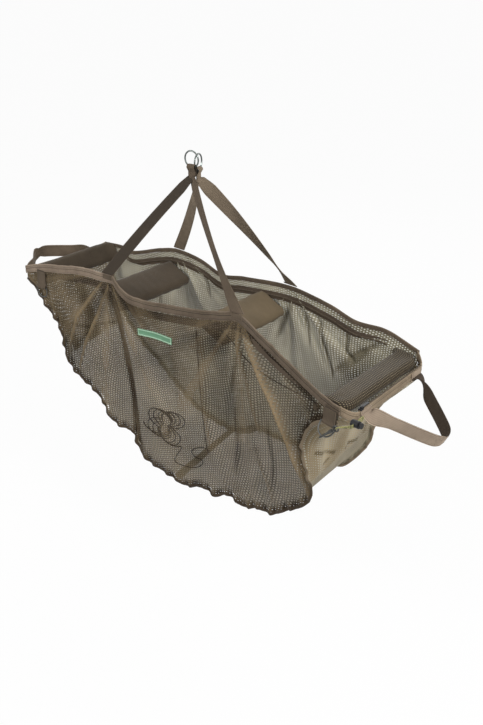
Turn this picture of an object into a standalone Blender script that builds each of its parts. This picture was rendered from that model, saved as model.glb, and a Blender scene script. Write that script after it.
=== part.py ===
"""A recovery sling: a mesh bag on two webbing Vs, each with its steel ring.

Metres, +Z up. The origin is where the hook bears on the two rings. +X runs to the right end, with the
snap clip and the zip slider. -Y is the front. The sling is modelled as it hangs, open and empty.
"""

import math

import bmesh
import bpy
from mathutils import Matrix, Vector

# Clearances
GAP = 0.0003  # between pieces that touch
FABRIC_GAP = 0.0007  # between a panel's edge and the panel it is sewn to
RUN = 0.0006  # between a moving piece and what carries it

# Mouth of the sling
HALF_LENGTH = 0.573  # from the middle to a corner
CORNER_HALF_WIDTH = 0.156
CORNER_DROP = 0.408  # from the hook down to a corner
BACK_HALF_SPAN = 0.206  # from the middle to a sewn strap end
FRONT_HALF_SPAN = 0.220
STRAP_HALF_WIDTH = 0.124
STRAP_DROP = 0.334
FRONT_SHIFT = 0.016  # the front wall hangs this far to the right
FRONT_SKEW = 0.014  # its right strap end stands this much further in, its left one further out
FRONT_RISE = 0.009  # its strap ends hang this much nearer the hook
FRONT_TILT = 0.005  # the right one nearer by this much more, the left one by less
END_SPLAY = 0.005  # the right end is this much wider than the mean, the left one narrower
FRONT_END_TILT = 0.013  # and its front corner hangs this much lower
BACK_END_TILT = 0.004
FLANK_SAG = 0.020  # between a corner and a strap end, at its deepest
RIM_DIP = 0.040  # between two strap ends, at its deepest
FRONT_RIM = (  # (share of the way, share of the sag) from corner to strap, strap to strap, strap to corner
    ((0.12, -0.3), (0.35, -0.55), (0.70, -0.60), (0.92, -0.18)),
    ((0.04, 0.07), (0.10, 0.72), (0.20, 1.1), (0.42, 0.97), (0.70, 0.6), (0.88, 0.27)),
    ((0.25, 0.05), (0.45, 0.2), (0.65, 0.3), (0.85, 0.45)),
)
BACK_RIM = (
    ((0.26, 0.35), (0.42, 1.0), (0.78, 0.1)),
    ((0.22, 0.18), (0.42, 0.76), (0.62, 0.42)),
    ((0.32, -0.2), (0.53, 0.2), (0.76, -0.6)),
)
END_BULGE = 0.027  # the ends of the mouth stand out this far
END_SAG = 0.018

RIM_STEPS = 33  # straight steps of a rim
RIM_END = HALF_LENGTH - 0.004

# Bag
FABRIC = 0.0015  # thickness of the mesh and of the end panels
WALL_SPREAD = 0.045  # how much a wall moves outward per metre down
SEAM_START_DROP = 0.012  # from the rim band down to where the lower seam starts
SEAM_ALLOWANCE = 0.006  # how far the base is sewn above a wall's lower edge
SEAM_EASE = 3  # steps to each side over which the base evens out the puckers of its edge
SEAM_TAPE_HEIGHT = 0.011
SEAM_TAPE_THICK = 0.0045
SEAM_SECTIONS = (11, 43, 12)  # steps of the left end, the base and the right end; twice RIM_STEPS in all
BAG_DROP = 0.884  # from the hook down to the lowest seam
FRONT_SEAM = (  # the lower edge of the front wall in three sections, as shares of half the length and of the drop
    ((-0.925, 0.511), (-0.867, 0.554), (-0.794, 0.590), (-0.740, 0.640), (-0.712, 0.719)),
    (
        (-0.654, 0.762),
        (-0.524, 0.796),
        (-0.447, 0.826),
        (-0.405, 0.871),
        (-0.325, 0.891),
        (-0.241, 0.891),
        (-0.202, 0.937),
        (-0.147, 0.975),
        (-0.049, 0.986),
        (0.105, 1.000),
        (0.218, 0.975),
        (0.300, 0.984),
        (0.363, 0.959),
        (0.468, 0.964),
        (0.585, 0.930),
        (0.660, 0.919),
        (0.742, 0.876),
        (0.838, 0.824),
        (0.883, 0.774),
    ),
    ((0.845, 0.713), (0.818, 0.665), (0.817, 0.624), (0.873, 0.557)),
)
BACK_SEAM = (
    ((-0.970, 0.534), (-0.953, 0.636), (-0.881, 0.735)),
    (
        (-0.747, 0.810),
        (-0.611, 0.857),
        (-0.480, 0.919),
        (-0.288, 0.982),
        (-0.079, 1.000),
        (0.052, 0.980),
        (0.148, 0.941),
        (0.279, 0.943),
        (0.412, 0.932),
        (0.541, 0.946),
        (0.637, 0.952),
        (0.702, 0.912),
        (0.778, 0.835),
        (0.801, 0.781),
    ),
    ((0.824, 0.692), (0.885, 0.622), (0.951, 0.550)),
)

# Rim bands, zip and inner tapes
FRONT_BAND_HEIGHT = 0.024
BACK_BAND_HEIGHT = 0.012
BAND_THICK = 0.004
COIL_WIDTH = 0.0045
COIL_THICK = 0.0022
INNER_TAPE_HEIGHT = 0.020
INNER_TAPE_THICK = 0.0014
INNER_TAPE_DROP = 0.028  # from the rim's top edge
INNER_TAPE_END = HALF_LENGTH - 0.083  # where the inner tapes stop
STRAIGHT_END = 0.80  # share of the mouth's end that is straight, where the slider runs

# Floats
END_FLOAT_WIDTH = 0.064
END_FLOAT_THICK = 0.030
END_FLOAT_BOW = 0.65  # share of the mouth's bulge that the end floats follow
RIGHT_FLOAT = (HALF_LENGTH - 0.040, -CORNER_DROP - 0.026)  # x, z of its middle
LEFT_FLOAT = (0.052 - HALF_LENGTH, -CORNER_DROP - 0.016)
LEFT_FLOAT_TILT = 60.0  # degrees, its right edge lower
RIGHT_FLOAT_SQUEEZE = 0.0008  # how much nearer its ends press to the slanting rim
LEFT_CROSS_SQUEEZE = 0.0008  # how much nearer its front end presses to the wall
CROSS_FLOAT_WIDTH = 0.098
CROSS_FLOAT_THICK = 0.030
CROSS_FLOAT_TILT = 24.0  # degrees, its right edge lower
LEFT_CROSS_FLOAT = (-0.205, -0.404)  # x, z of its middle
RIGHT_CROSS_FLOAT = (0.150, -0.398)

# Webbing
STRAP_WIDTH = 0.035
STRAP_THICK = 0.0018
EYE_WIDTH = 0.022  # the strap is gathered to this width at its ring
NECK_LENGTH = 0.012  # where both layers are sewn together
STRAP_BOW = 0.009  # how far a leg stands out from the straight line, away from the bag
NECK_START = 1.3  # its top below the ring's wire, in radii of the eye
FRONT_TWISTS = ((0, 0, 3, 7, 11, 15), (0, 26, 37, 35, 30, 24))  # degrees from foot to neck: left leg, right leg
BACK_TWISTS = ((0, 8, 15, 22, 34, 46), (180, 207, 195, 182, 167, 150, 134, 118))
PATCH_LENGTH = 0.013
HANDLE_WIDTH = 0.038
HANDLE_THICK = 0.0022
RIGHT_HANDLE_REACH = 0.153  # from the mouth's end to the handle's tip
LEFT_HANDLE_REACH = 0.118
HANDLE_HALF_SPAN = 0.104
HANDLE_NOSE = 0.0008  # how far its ends reach past the line it swings about
HANDLE_TWIST = 0.15  # share of its length over which each end turns onto its edge
HANDLE_GATHER = 0.25  # share of its width that the tip of a handle loses
RIGHT_HANDLE_DROOP = 25.0  # degrees below level
LEFT_HANDLE_DROOP = 2.0
TAB_WIDTH = 0.036
RIGHT_TAB = (HALF_LENGTH - 0.021, 0.026, 0.0030)  # x of its middle, its D-ring's drop below the band, its height off the wall
LEFT_TAB = (0.080 - HALF_LENGTH, 0.044, 0.0023)

# Metal
RING_RADIUS = 0.020  # to the middle of the wire
RING_WIRE = 0.002  # radius of the wire
FRONT_RING = (0.004, -0.015, -0.014)  # middle of the ring
BACK_RING = (-0.004, 0.015, -0.028)
FRONT_RING_TURN = 8.0  # degrees of its plane from +X
BACK_RING_TURN = 109.0
D_WIRE = 0.0019
D_DEPTH = 0.030  # from the bar to the bow
D_SPARE = 0.005  # between the tab's edge and the bow's side
RIGHT_D_SWING = 40.0  # degrees from hanging, as the clip holds it
CLIP_LEAN = 44.0  # degrees above level
CLIP_WIRE = 0.0021
CLIP_HOOK_RADIUS = 0.0075
CLIP_HOOK_MIDDLE = 0.0014
CLIP_TIP = 0.0036
CLIP_BARREL_END = 0.036
GATE_FOOT = (0.0236, -0.0046)  # along the clip, outward
GATE_TIP = (0.0050, -0.0070)
GATE_WIRE = 0.0014
EYE_MIDDLE = 0.0475
EYE_RADIUS = 0.0066
EYE_WIRE = 0.0017
LOCK_MIDDLE = (HALF_LENGTH + 0.039, -0.1580, -CORNER_DROP - 0.040)
LOOP_END = (HALF_LENGTH + 0.041, -0.1310, -CORNER_DROP - 0.036)
LOCK_RADIUS = 0.0085
LOCK_BELOW = 0.0080
LOCK_ABOVE = 0.0110
LOCK_BORE = 0.0040
BUTTON_RADIUS = 0.0040
BUTTON_TRAVEL = 0.0025
CAMO_RADIUS = 0.0017
CAMO_SPACE = 0.0010
SLIDER_WIDTH = 0.0090
SLIDER_LENGTH = 0.0130
SLIDER_HEIGHT = 0.0026
PULL_WIDTH = 0.0075
PULL_LENGTH = 0.0280

# Cord
CORD_RADIUS = 0.0015
HANK_LOOPS = 8
HANK_LAYER_RISE = 0.0044
HANK_STEP = 0.0040
HANK_WAIST_STEP = 0.0042
HANK_HALF_LENGTH = 0.046
HANK_HALF_WIDTH = 0.014
HANK_WAIST = 0.0040
HANK_PINCH = 0.020
HANK_START = -0.25  # where on its outline the cord joins it, radians
CORD_REST = 0.0010
ANCHOR_THICK = 0.012
HANK_MIDDLE = (-0.128, -0.035)
HANK_TURN = -52.0  # degrees of its length from +X
CORD_ROUTE = (
    (HALF_LENGTH - 0.079, -0.1330, -0.4560),
    (HALF_LENGTH - 0.089, -0.1310, -0.4568),
    (HALF_LENGTH - 0.123, -0.1240, -0.4590),
    (HALF_LENGTH - 0.168, -0.1190, -0.4600),
    (0.331, -0.1130, -0.4560),
    (0.262, -0.1080, -0.4380),
    (0.215, -0.1050, -0.4080),
    (0.180, -0.1040, -0.3905),
    (0.145, -0.1030, -0.3765),
    (0.110, -0.1020, -0.3610),
    (0.090, -0.1010, -0.3640),
    (0.083, -0.1000, -0.3900),
    (0.082, -0.0970, -0.4600),
    (0.078, -0.0880, -0.6000),
    (0.066, -0.0660, -0.7400),
    (0.046, -0.0360, -0.8450),
)
CORD_LOW = -0.84  # below this the cord is near the base
CORD_ON_BASE = (
    (0.024, -0.010),
    (0.002, 0.000),
    (-0.018, -0.012),
    (-0.020, -0.036),
    (0.006, -0.050),
    (0.038, -0.053),
    (0.056, -0.070),
    (0.050, -0.090),
    (0.022, -0.101),
    (-0.020, -0.104),
)

# Label and tape
LABEL = (-0.100, 0.022)
LABEL_TOP = -0.447
LABEL_DROOP = 0.006
LABEL_HEIGHT = 0.019
LABEL_THICK = 0.0009
CROSS_TAPE_X = -0.012
CROSS_TAPE_THICK = 0.0011

# Colours, linear
TAUPE = (0.13, 0.105, 0.078)
OLIVE = (0.17, 0.14, 0.10)
MESH = (0.14, 0.115, 0.08)
DARK = (0.055, 0.048, 0.04)
PALE = (0.28, 0.235, 0.19)
FLOAT = (0.085, 0.075, 0.055)
GREEN = (0.22, 0.42, 0.27)
STEEL = (0.42, 0.44, 0.43)
GUNMETAL = (0.08, 0.09, 0.09)
BLACK = (0.012, 0.012, 0.012)
CORD = (0.05, 0.042, 0.03)
CAMO = (0.36, 0.36, 0.14)

for old in list(bpy.data.objects):
    bpy.data.objects.remove(old)


# Materials and finishing


def material(name, colour, roughness=0.85, metallic=0.0):
    found = bpy.data.materials.get(name)
    if found:
        return found
    made = bpy.data.materials.new(name)
    made.use_nodes = True
    shader = made.node_tree.nodes["Principled BSDF"]
    shader.inputs["Base Color"].default_value = (*colour, 1)
    shader.inputs["Roughness"].default_value = roughness
    shader.inputs["Metallic"].default_value = metallic
    return made


WEBBING = material("webbing", TAUPE, 0.8)
MESH_FABRIC = material("mesh_fabric", MESH, 0.85)
END_FABRIC = material("end_fabric", OLIVE, 0.7)
RIM_FABRIC = material("rim_fabric", PALE, 0.8)
DARK_TAPE = material("dark_tape", DARK, 0.8)
FLOAT_FABRIC = material("float_fabric", FLOAT, 0.55)
TAG_FABRIC = material("tag_fabric", GREEN, 0.7)
BRIGHT_STEEL = material("bright_steel", STEEL, 0.25, 1.0)
DARK_STEEL = material("dark_steel", GUNMETAL, 0.35, 1.0)
BLACK_PLASTIC = material("black_plastic", BLACK, 0.45)
CORD_FIBRE = material("cord_fibre", CORD, 0.85)
CAMO_FIBRE = material("camo_fibre", CAMO, 0.85)


def place(name, bm, surface, smooth=None):
    """Turns a bmesh into a named object whose faces point out."""
    bmesh.ops.recalc_face_normals(bm, faces=bm.faces[:])
    bm.normal_update()
    bmesh.ops.triangulate(bm, faces=bm.faces[:])
    mesh = bpy.data.meshes.new(name)
    bm.to_mesh(mesh)
    bm.free()
    mesh.materials.append(surface)
    if smooth:
        mesh.shade_smooth()
        mesh.set_sharp_from_angle(angle=math.radians(smooth))
    made = bpy.data.objects.new(name, mesh)
    bpy.context.scene.collection.objects.link(made)
    return made


def add_loft(bm, rings, closed=False):
    """Joins rings of points into a closed tube; an open one gets flat ends."""
    rows = [[bm.verts.new(p) for p in ring] for ring in rings]
    pairs = list(zip(rows, rows[1:]))
    if closed:
        pairs.append((rows[-1], rows[0]))
    for a, b in pairs:
        for i in range(len(a)):
            j = (i + 1) % len(a)
            bm.faces.new((a[i], a[j], b[j], b[i]))
    if not closed:
        bm.faces.new(rows[0])
        bm.faces.new(rows[-1])


def pivot(name, point):
    """Moves a piece's origin to its joint, leaving the piece where it is."""
    piece = bpy.data.objects[name]
    piece.data.transform(Matrix.Translation(-Vector(point)))
    piece.location = point


def loft(name, rings, surface, closed=False, smooth=None):
    bm = bmesh.new()
    add_loft(bm, rings, closed)
    return place(name, bm, surface, smooth)


def sheet(name, grid, surface, thickness=FABRIC):
    """A sheet of cloth through a grid of points, half its thickness to each side."""
    bm = bmesh.new()
    rows = [[bm.verts.new(p) for p in row] for row in grid]
    for a, b in zip(rows, rows[1:]):
        for i in range(len(a) - 1):
            bm.faces.new((a[i], a[i + 1], b[i + 1], b[i]))
    made = place(name, bm, surface)
    solid = made.modifiers.new("thickness", "SOLIDIFY")
    solid.thickness = thickness
    solid.offset = 0
    solid.use_even_offset = False
    return made


def circle_ring(centre, across, up, radius, sides):
    turn = 2 * math.pi / sides
    return [centre + radius * (math.cos(i * turn) * across + math.sin(i * turn) * up) for i in range(sides)]


def tube_rings(path, radius, sides, closed=False):
    """Rings along a path, each square to it and turned as little as possible from the last."""
    rings = []
    count = len(path)
    across = None
    for i, point in enumerate(path):
        before = path[i - 1] if i or closed else point
        after = path[(i + 1) % count] if i < count - 1 or closed else point
        along = (after - before).normalized()
        if across is None:
            across = along.orthogonal()
        across = (across - along * across.dot(along)).normalized()
        size = radius(i / (count - 1)) if callable(radius) else radius
        rings.append(circle_ring(point, across, along.cross(across), size, sides))
    return rings


def tube(name, path, radius, surface, sides=8, closed=False):
    return loft(name, tube_rings(path, radius, sides, closed), surface, closed, smooth=50)


def spline(points, t):
    """The point at share t of a smooth curve through the points, evenly spread among them."""
    spans = len(points) - 1
    place_ = min(max(t, 0.0), 1.0) * spans
    i = min(int(place_), spans - 1)
    f = place_ - i
    p1, p2 = points[i], points[i + 1]
    p0 = points[i - 1] if i else p1 * 2 - p2
    p3 = points[i + 2] if i + 2 <= spans else p2 * 2 - p1
    return 0.5 * (2 * p1 + (p2 - p0) * f + (2 * p0 - 5 * p1 + 4 * p2 - p3) * f * f + (3 * p1 - p0 - 3 * p2 + p3) * f**3)


def even_points(line, count):
    """Points at equal steps along a line of short straight pieces."""
    lengths = [0.0]
    for a, b in zip(line, line[1:]):
        lengths.append(lengths[-1] + (b - a).length)
    found = []
    at = 0
    for i in range(count):
        want = lengths[-1] * i / (count - 1)
        while at < len(line) - 2 and lengths[at + 1] < want:
            at += 1
        share = (want - lengths[at]) / max(lengths[at + 1] - lengths[at], 1e-12)
        found.append(line[at].lerp(line[at + 1], min(share, 1.0)))
    return found


def resample(points, count):
    """Points at equal steps along the smooth curve through the given ones."""
    fine = 24 * len(points)
    return even_points([spline(points, i / fine) for i in range(fine + 1)], count)


# The shape of the mouth and of the walls. side is -1 at the front and +1 at the back, end is -1 at the left


def corner(side, end):
    tilt = FRONT_END_TILT if side < 0 else BACK_END_TILT
    return Vector((end * HALF_LENGTH, side * (CORNER_HALF_WIDTH + end * END_SPLAY), -CORNER_DROP - end * tilt))


def strap_point(side, end):
    if side > 0:
        return Vector((end * BACK_HALF_SPAN, STRAP_HALF_WIDTH, -STRAP_DROP))
    y = end * FRONT_SKEW - STRAP_HALF_WIDTH
    return Vector((end * FRONT_HALF_SPAN + FRONT_SHIFT, y, end * FRONT_TILT + FRONT_RISE - STRAP_DROP))


def rim_line(side):
    """The points of a rim's top edge, from the left corner to the right one."""
    left, right = corner(side, -1), corner(side, 1)
    left_strap, right_strap = strap_point(side, -1), strap_point(side, 1)
    left_sags, dips, right_sags = FRONT_RIM if side < 0 else BACK_RIM
    points = [left]
    points += [left.lerp(left_strap, at) - Vector((0, 0, FLANK_SAG * deep)) for at, deep in left_sags]
    points.append(left_strap)
    points += [left_strap.lerp(right_strap, at) - Vector((0, 0, RIM_DIP * deep)) for at, deep in dips]
    points.append(right_strap)
    points += [right_strap.lerp(right, at) - Vector((0, 0, FLANK_SAG * deep)) for at, deep in right_sags]
    return [*points, right]


def rim_polyline(side):
    """The rim's top edge as straight steps of equal length along X, shared by all that is sewn to it."""
    dense = [spline(rim_line(side), i / 400) for i in range(401)]
    found = []
    for i in range(RIM_STEPS + 1):
        x = RIM_END * (2 * i / RIM_STEPS - 1)
        after = next((k for k, p in enumerate(dense) if p.x >= x), len(dense) - 1)
        p, q = dense[after - 1], dense[after]
        found.append(p.lerp(q, (x - p.x) / (q.x - p.x)))
    return [corner(side, -1), *found, corner(side, 1)]


RIM_LINES = {side: rim_polyline(side) for side in (-1, 1)}


def rim(side, x):
    """The rim's top edge at x."""
    line = RIM_LINES[side]
    x = min(max(x, line[0].x), line[-1].x)
    for a, b in zip(line, line[1:]):
        if x <= b.x:
            return a.lerp(b, (x - a.x) / (b.x - a.x))
    return line[-1].copy()


def band_height(side):
    return FRONT_BAND_HEIGHT if side < 0 else BACK_BAND_HEIGHT


def wall(side, x, z, out=0.0):
    """The middle of a wall's cloth at x and z, moved out by a distance."""
    edge = rim(side, x)
    return Vector((x, edge.y + side * (WALL_SPREAD * (edge.z - z) + out), z))


def seam_end(end):
    return Vector((end * RIM_END, 0, corner(-1, end).z - FRONT_BAND_HEIGHT - SEAM_START_DROP))


def seam_line(sections):
    """The lower seam at equal steps within each of its three sections."""
    corners = [Vector((x * HALF_LENGTH, 0, -drop * BAG_DROP)) for section in sections for x, drop in section]
    points = [seam_end(-1), *corners, seam_end(1)]
    fold = [0, len(sections[0]), len(sections[0]) + len(sections[1]), len(points) - 1]
    found = [points[0]]
    for start, end, steps in zip(fold, fold[1:], SEAM_SECTIONS):
        dense = [spline(points, (start + (end - start) * i / 400) / fold[-1]) for i in range(401)]
        found += even_points(dense, steps + 1)[1:]
    return found


def outward(line, step):
    """The direction out of the bag, square to a seam line."""
    along = line[min(step + 1, len(line) - 1)] - line[max(step - 1, 0)]
    return Vector((along.z, 0, -along.x)).normalized()


def eased(line):
    """The same line with its puckers evened out."""
    found = []
    for step in range(len(line)):
        reach = min(SEAM_EASE, step, len(line) - 1 - step)
        near = line[step - reach : step + reach + 1]
        found.append(sum(near, Vector()) / len(near))
    return found


def base_line(line):
    """Where the base is sewn, a little inside a seam line."""
    return [point + outward(line, step) * -SEAM_ALLOWANCE for step, point in enumerate(line)]


SEAM = {-1: seam_line(FRONT_SEAM), 1: seam_line(BACK_SEAM)}
SEAM_STEPS = len(SEAM[1])
BASE_EDGE = {side: base_line(line) for side, line in SEAM.items()}
BASE_MIDDLE = {side: base_line(eased(line)) for side, line in SEAM.items()}
LEFT_FOLD = SEAM_SECTIONS[0]
RIGHT_FOLD = SEAM_SECTIONS[0] + SEAM_SECTIONS[1]


def end_edge(end, v):
    """The top edge of the mouth's end; v runs from -1 at the front corner to 1 at the back one."""
    front, back = corner(-1, end), corner(1, end)
    inset = BAND_THICK / 2 + FABRIC_GAP + GAP
    front.y += inset
    back.y -= inset
    away = min(1.0, (1 - abs(v)) / (1 - STRAIGHT_END))
    shift = away * (2 - away)
    return front.lerp(back, (v + 1) / 2) + Vector((end * (END_BULGE * shift - BAND_THICK / 2), 0, -END_SAG * shift))


# Walls, base and end panels


def wall_grid(side, rows=3):
    grid = []
    for row in range(rows + 1):
        line = []
        for step in range(SEAM_STEPS):
            x = RIM_END * (2 * step / (SEAM_STEPS - 1) - 1)
            top = rim(side, x).z - band_height(side) - GAP
            low = SEAM[side][step]
            f = row / rows
            line.append(wall(side, x + (low.x - x) * f**1.7, top + (low.z - top) * f))
        grid.append(line)
    return grid


def gusset_point(step, v):
    """A point of the strip between the walls; v is -1 at the front wall and 1 at the back one."""
    edge = max(0.0, (abs(v) - STRAIGHT_END) / (1 - STRAIGHT_END))
    ends = []
    for side in (-1, 1):
        spot = BASE_MIDDLE[side][step].lerp(BASE_EDGE[side][step], edge)
        ends.append(wall(side, spot.x, spot.z, -FABRIC / 2 - FABRIC_GAP))
    return ends[0].lerp(ends[1], (v + 1) / 2)


BASE_ACROSS = (-1, -0.92, -STRAIGHT_END, -0.3, 0.3, STRAIGHT_END, 0.92, 1)
END_ACROSS = (-1, -0.95, -0.88, -STRAIGHT_END, 0, STRAIGHT_END, 0.88, 0.95, 1)


def end_bulge(end, step, v):
    """How far an end panel stands out below the mouth's end."""
    up = (step - RIGHT_FOLD) / SEAM_SECTIONS[2] if end > 0 else 1 - step / SEAM_SECTIONS[0]
    rise = up * up * (3 - 2 * up)
    straight = end_edge(end, -1).lerp(end_edge(end, 1), (v + 1) / 2)
    return (end_edge(end, v) - straight) * rise


def base_and_ends():
    base = [[gusset_point(i, v) for v in BASE_ACROSS] for i in range(LEFT_FOLD, RIGHT_FOLD + 1)]
    for row, inner in ((0, 1), (-1, -2)):
        base[row] = [a + (b - a).normalized() * FABRIC_GAP for a, b in zip(base[row], base[inner])]
    sheet("base_panel", base, MESH_FABRIC)
    for end, steps, name in ((-1, range(LEFT_FOLD, -1, -1), "left"), (1, range(RIGHT_FOLD, SEAM_STEPS), "right")):
        rows = [[gusset_point(i, v) + end_bulge(end, i, v) for v in END_ACROSS] for i in steps]
        rows[0] = [a + (b - a).normalized() * FABRIC_GAP for a, b in zip(rows[0], rows[1])]
        top = []
        for v in END_ACROSS:
            point = end_edge(end, v) - Vector((0, 0, FRONT_BAND_HEIGHT + FABRIC_GAP + GAP))
            if abs(v) == 1:
                point.y = wall(v, point.x, point.z, -FABRIC / 2 - FABRIC_GAP).y
            top.append(point)
        rows.append(top)
        sheet(f"{name}_end_panel", rows, END_FABRIC)


def seam_tape(side, name):
    rings = []
    half = SEAM_TAPE_THICK / 2
    for step, point in enumerate(SEAM[side]):
        out = outward(SEAM[side], step)
        inner, outer = point + out * GAP, point + out * (GAP + SEAM_TAPE_HEIGHT)
        near, far = wall(side, inner.x, inner.z), wall(side, outer.x, outer.z)
        rings.append([near - Vector((0, half, 0)), near + Vector((0, half, 0)), far + Vector((0, half, 0)), far - Vector((0, half, 0))])
    loft(name, rings, DARK_TAPE)


# Bands, zip and tapes along the mouth


def rim_stations(side, end_x):
    return [-end_x, *[p.x for p in RIM_LINES[side] if abs(p.x) < end_x - 0.001], end_x]


def rim_strip(side, name, top_drop, height, inner, outer, surface, end_x=HALF_LENGTH):
    """A strip along the rim between two heights and between two distances from the cloth's middle."""
    rings = []
    for x in rim_stations(side, end_x):
        top = rim(side, x).z - top_drop
        rings.append(
            [
                wall(side, x, top, inner),
                wall(side, x, top, outer),
                wall(side, x, top - height, outer),
                wall(side, x, top - height, inner),
            ]
        )
    return loft(name, rings, surface)


def end_band(end, name):
    rings = []
    for v in END_ACROSS:
        top = end_edge(end, v)
        half = Vector((BAND_THICK / 2, 0, 0))
        low = Vector((0, 0, -FRONT_BAND_HEIGHT))
        rings.append([top - half, top + half, top + half + low, top - half + low])
    loft(name, rings, RIM_FABRIC)


def end_run(end):
    """The two ends of the straight stretch of the mouth's end."""
    return end_edge(end, -STRAIGHT_END), end_edge(end, STRAIGHT_END)


def end_zip():
    """The coil on top of the right end's band, on which the slider runs."""
    front, back = end_run(1)
    lift = Vector((0, 0, GAP))
    up = Vector((0, 0, COIL_THICK))
    half = Vector((COIL_WIDTH / 2, 0, 0))
    rings = [[p + lift - half, p + lift + half, p + lift + half + up, p + lift - half + up] for p in (front, back)]
    loft("right_end_zip_coil", rings, DARK_TAPE)


# Floats


def rounded_section(width, height, corner_radius, per_corner=3):
    """A rounded rectangle about the origin, as (across, up) pairs."""
    found = []
    for cx, cz, start in ((1, 1, 0), (-1, 1, 90), (-1, -1, 180), (1, -1, 270)):
        for i in range(per_corner + 1):
            a = math.radians(start + 90 * i / per_corner)
            across = cx * (width / 2 - corner_radius) + corner_radius * math.cos(a)
            up = cz * (height / 2 - corner_radius) + corner_radius * math.sin(a)
            found.append((across, up))
    return found


def padded_bar(name, middle, width, thick, tilt, stops, bow=0.0):
    """A soft bar from the front wall to the back one; stops is how far it stays from the middle of their cloth."""
    turn = math.radians(tilt)
    section = rounded_section(width, thick, thick * 0.46)
    spot = [(a * math.cos(turn) + u * math.sin(turn), u * math.cos(turn) - a * math.sin(turn)) for a, u in section]
    reach = {}
    for side, stop in zip((-1, 1), stops):
        reach[side] = side * min(abs(wall(side, middle[0] + dx, middle[1] + dz).y) for dx, dz in spot) - side * stop
    rings = []
    for share in (0, 0.03, 0.1, 0.2, 0.35, 0.5, 0.65, 0.8, 0.9, 0.97, 1):
        full = 0.82 if share in (0, 1) else 1 - 0.10 * abs(2 * share - 1) ** 3
        y = reach[-1] + (reach[1] - reach[-1]) * share
        away = min(1.0, (1 - abs(2 * share - 1)) / (1 - STRAIGHT_END))
        shift = bow * away * (2 - away)
        rings.append([Vector((middle[0] + shift + dx * full, y, middle[1] + dz * full)) for dx, dz in spot])
    return loft(name, rings, FLOAT_FABRIC, smooth=60)


def floats():
    on_wall = FABRIC / 2 + GAP
    on_band = BAND_THICK / 2 + GAP
    on_coil = on_wall + INNER_TAPE_THICK + COIL_THICK + GAP
    bow = END_BULGE * END_FLOAT_BOW
    squeezed = on_band - RIGHT_FLOAT_SQUEEZE
    below_tape = on_wall - LEFT_CROSS_SQUEEZE
    padded_bar("right_end_float", RIGHT_FLOAT, END_FLOAT_WIDTH, END_FLOAT_THICK, 4, (squeezed, squeezed), bow)
    padded_bar("left_end_float", LEFT_FLOAT, END_FLOAT_WIDTH, END_FLOAT_THICK, LEFT_FLOAT_TILT, (on_band, on_band), -bow)
    for middle, name, front_stop in ((LEFT_CROSS_FLOAT, "left", below_tape), (RIGHT_CROSS_FLOAT, "right", on_coil)):
        stops = (front_stop, on_coil)
        padded_bar(f"{name}_cross_float", middle, CROSS_FLOAT_WIDTH, CROSS_FLOAT_THICK, CROSS_FLOAT_TILT, stops)


# Webbing


def ribbon(name, stations, thickness, surface):
    """Webbing through (point, direction across, width) stations; its thickness lies square to it."""
    rings = []
    count = len(stations)
    for i, (point, across, width) in enumerate(stations):
        after = stations[min(i + 1, count - 1)][0]
        before = stations[max(i - 1, 0)][0]
        out = (after - before).cross(across).normalized() * (thickness / 2)
        side = across * (width / 2)
        rings.append([point - side - out, point + side - out, point + side + out, point - side + out])
    return loft(name, rings, surface)


def hinge_point(side, end):
    """Where a strap leaves its sewn patch: outside the band, just above its top edge."""
    at = strap_point(side, end)
    beside = (-1, 0, 1) if side < 0 else (0,)  # the front rim rises beside its straps
    top = max(rim(side, at.x + f * STRAP_WIDTH / 2).z for f in beside)
    return wall(side, at.x, top + STRAP_THICK / 2 + GAP, BAND_THICK / 2 + GAP + STRAP_THICK / 2)


def strap(side, name, ring_middle, ring_turn, twists):
    """One V: up from the left sewn end, through the ring's eye and down to the right one."""
    turn = math.radians(ring_turn)
    across_eye = Vector((math.cos(turn), math.sin(turn), 0))
    first_side = Vector((-math.sin(turn), math.cos(turn), 0))  # where the left leg lies in the neck
    down = Vector((0, 0, -1))
    eye = Vector(ring_middle) + down * RING_RADIUS
    rise = RING_RADIUS - math.sqrt((RING_RADIUS - RING_WIRE) ** 2 - (EYE_WIDTH / 2) ** 2)
    radius = rise + RUN + STRAP_THICK / 2
    left, right = hinge_point(side, -1), hinge_point(side, 1)
    hinge = (right - left).normalized()
    if across_eye.dot(hinge) < 0:
        across_eye = -across_eye
    close = STRAP_THICK / 2 + GAP
    top = down * (radius * NECK_START)

    def leg(foot, layer, twist):
        neck = eye + top + down * NECK_LENGTH + layer * close
        run = (neck - foot).normalized()
        flat = (hinge - run * hinge.dot(run)).normalized()
        turns = [Vector((a, 0, 0)) for a in twist]
        found = []
        for share in (0, 0.01, 0.07, 0.14, 0.24, 0.36, 0.48, 0.6, 0.72, 0.84, 0.92, 0.97):
            angle = math.radians(-spline(turns, share).x)
            width = STRAP_WIDTH + (EYE_WIDTH - STRAP_WIDTH) * max(0, (share - 0.9) / 0.1)
            across = Matrix.Rotation(angle, 3, run) @ flat
            if share < 0.02:
                across = hinge * (math.copysign(1, across.dot(hinge)) / hinge.dot(flat))
            bow = Vector((0, side * STRAP_BOW * 4 * share * (1 - share), 0))
            found.append((foot.lerp(neck, share) + bow, across, width))
        for f in (0.12, 0.5, 1):
            found.append((neck - down * (NECK_LENGTH * f), across_eye, EYE_WIDTH))
        return found

    loop = []
    for i in range(11):
        a = math.pi * i / 10
        point = eye + first_side * (radius * math.cos(a)) - down * (radius * math.sin(a))
        loop.append((point, across_eye, EYE_WIDTH))
    stations = leg(left, first_side, twists[0]) + loop + list(reversed(leg(right, -first_side, twists[1])))
    ribbon(name, stations, STRAP_THICK, WEBBING)
    pivot(name, (left + right) / 2)


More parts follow.
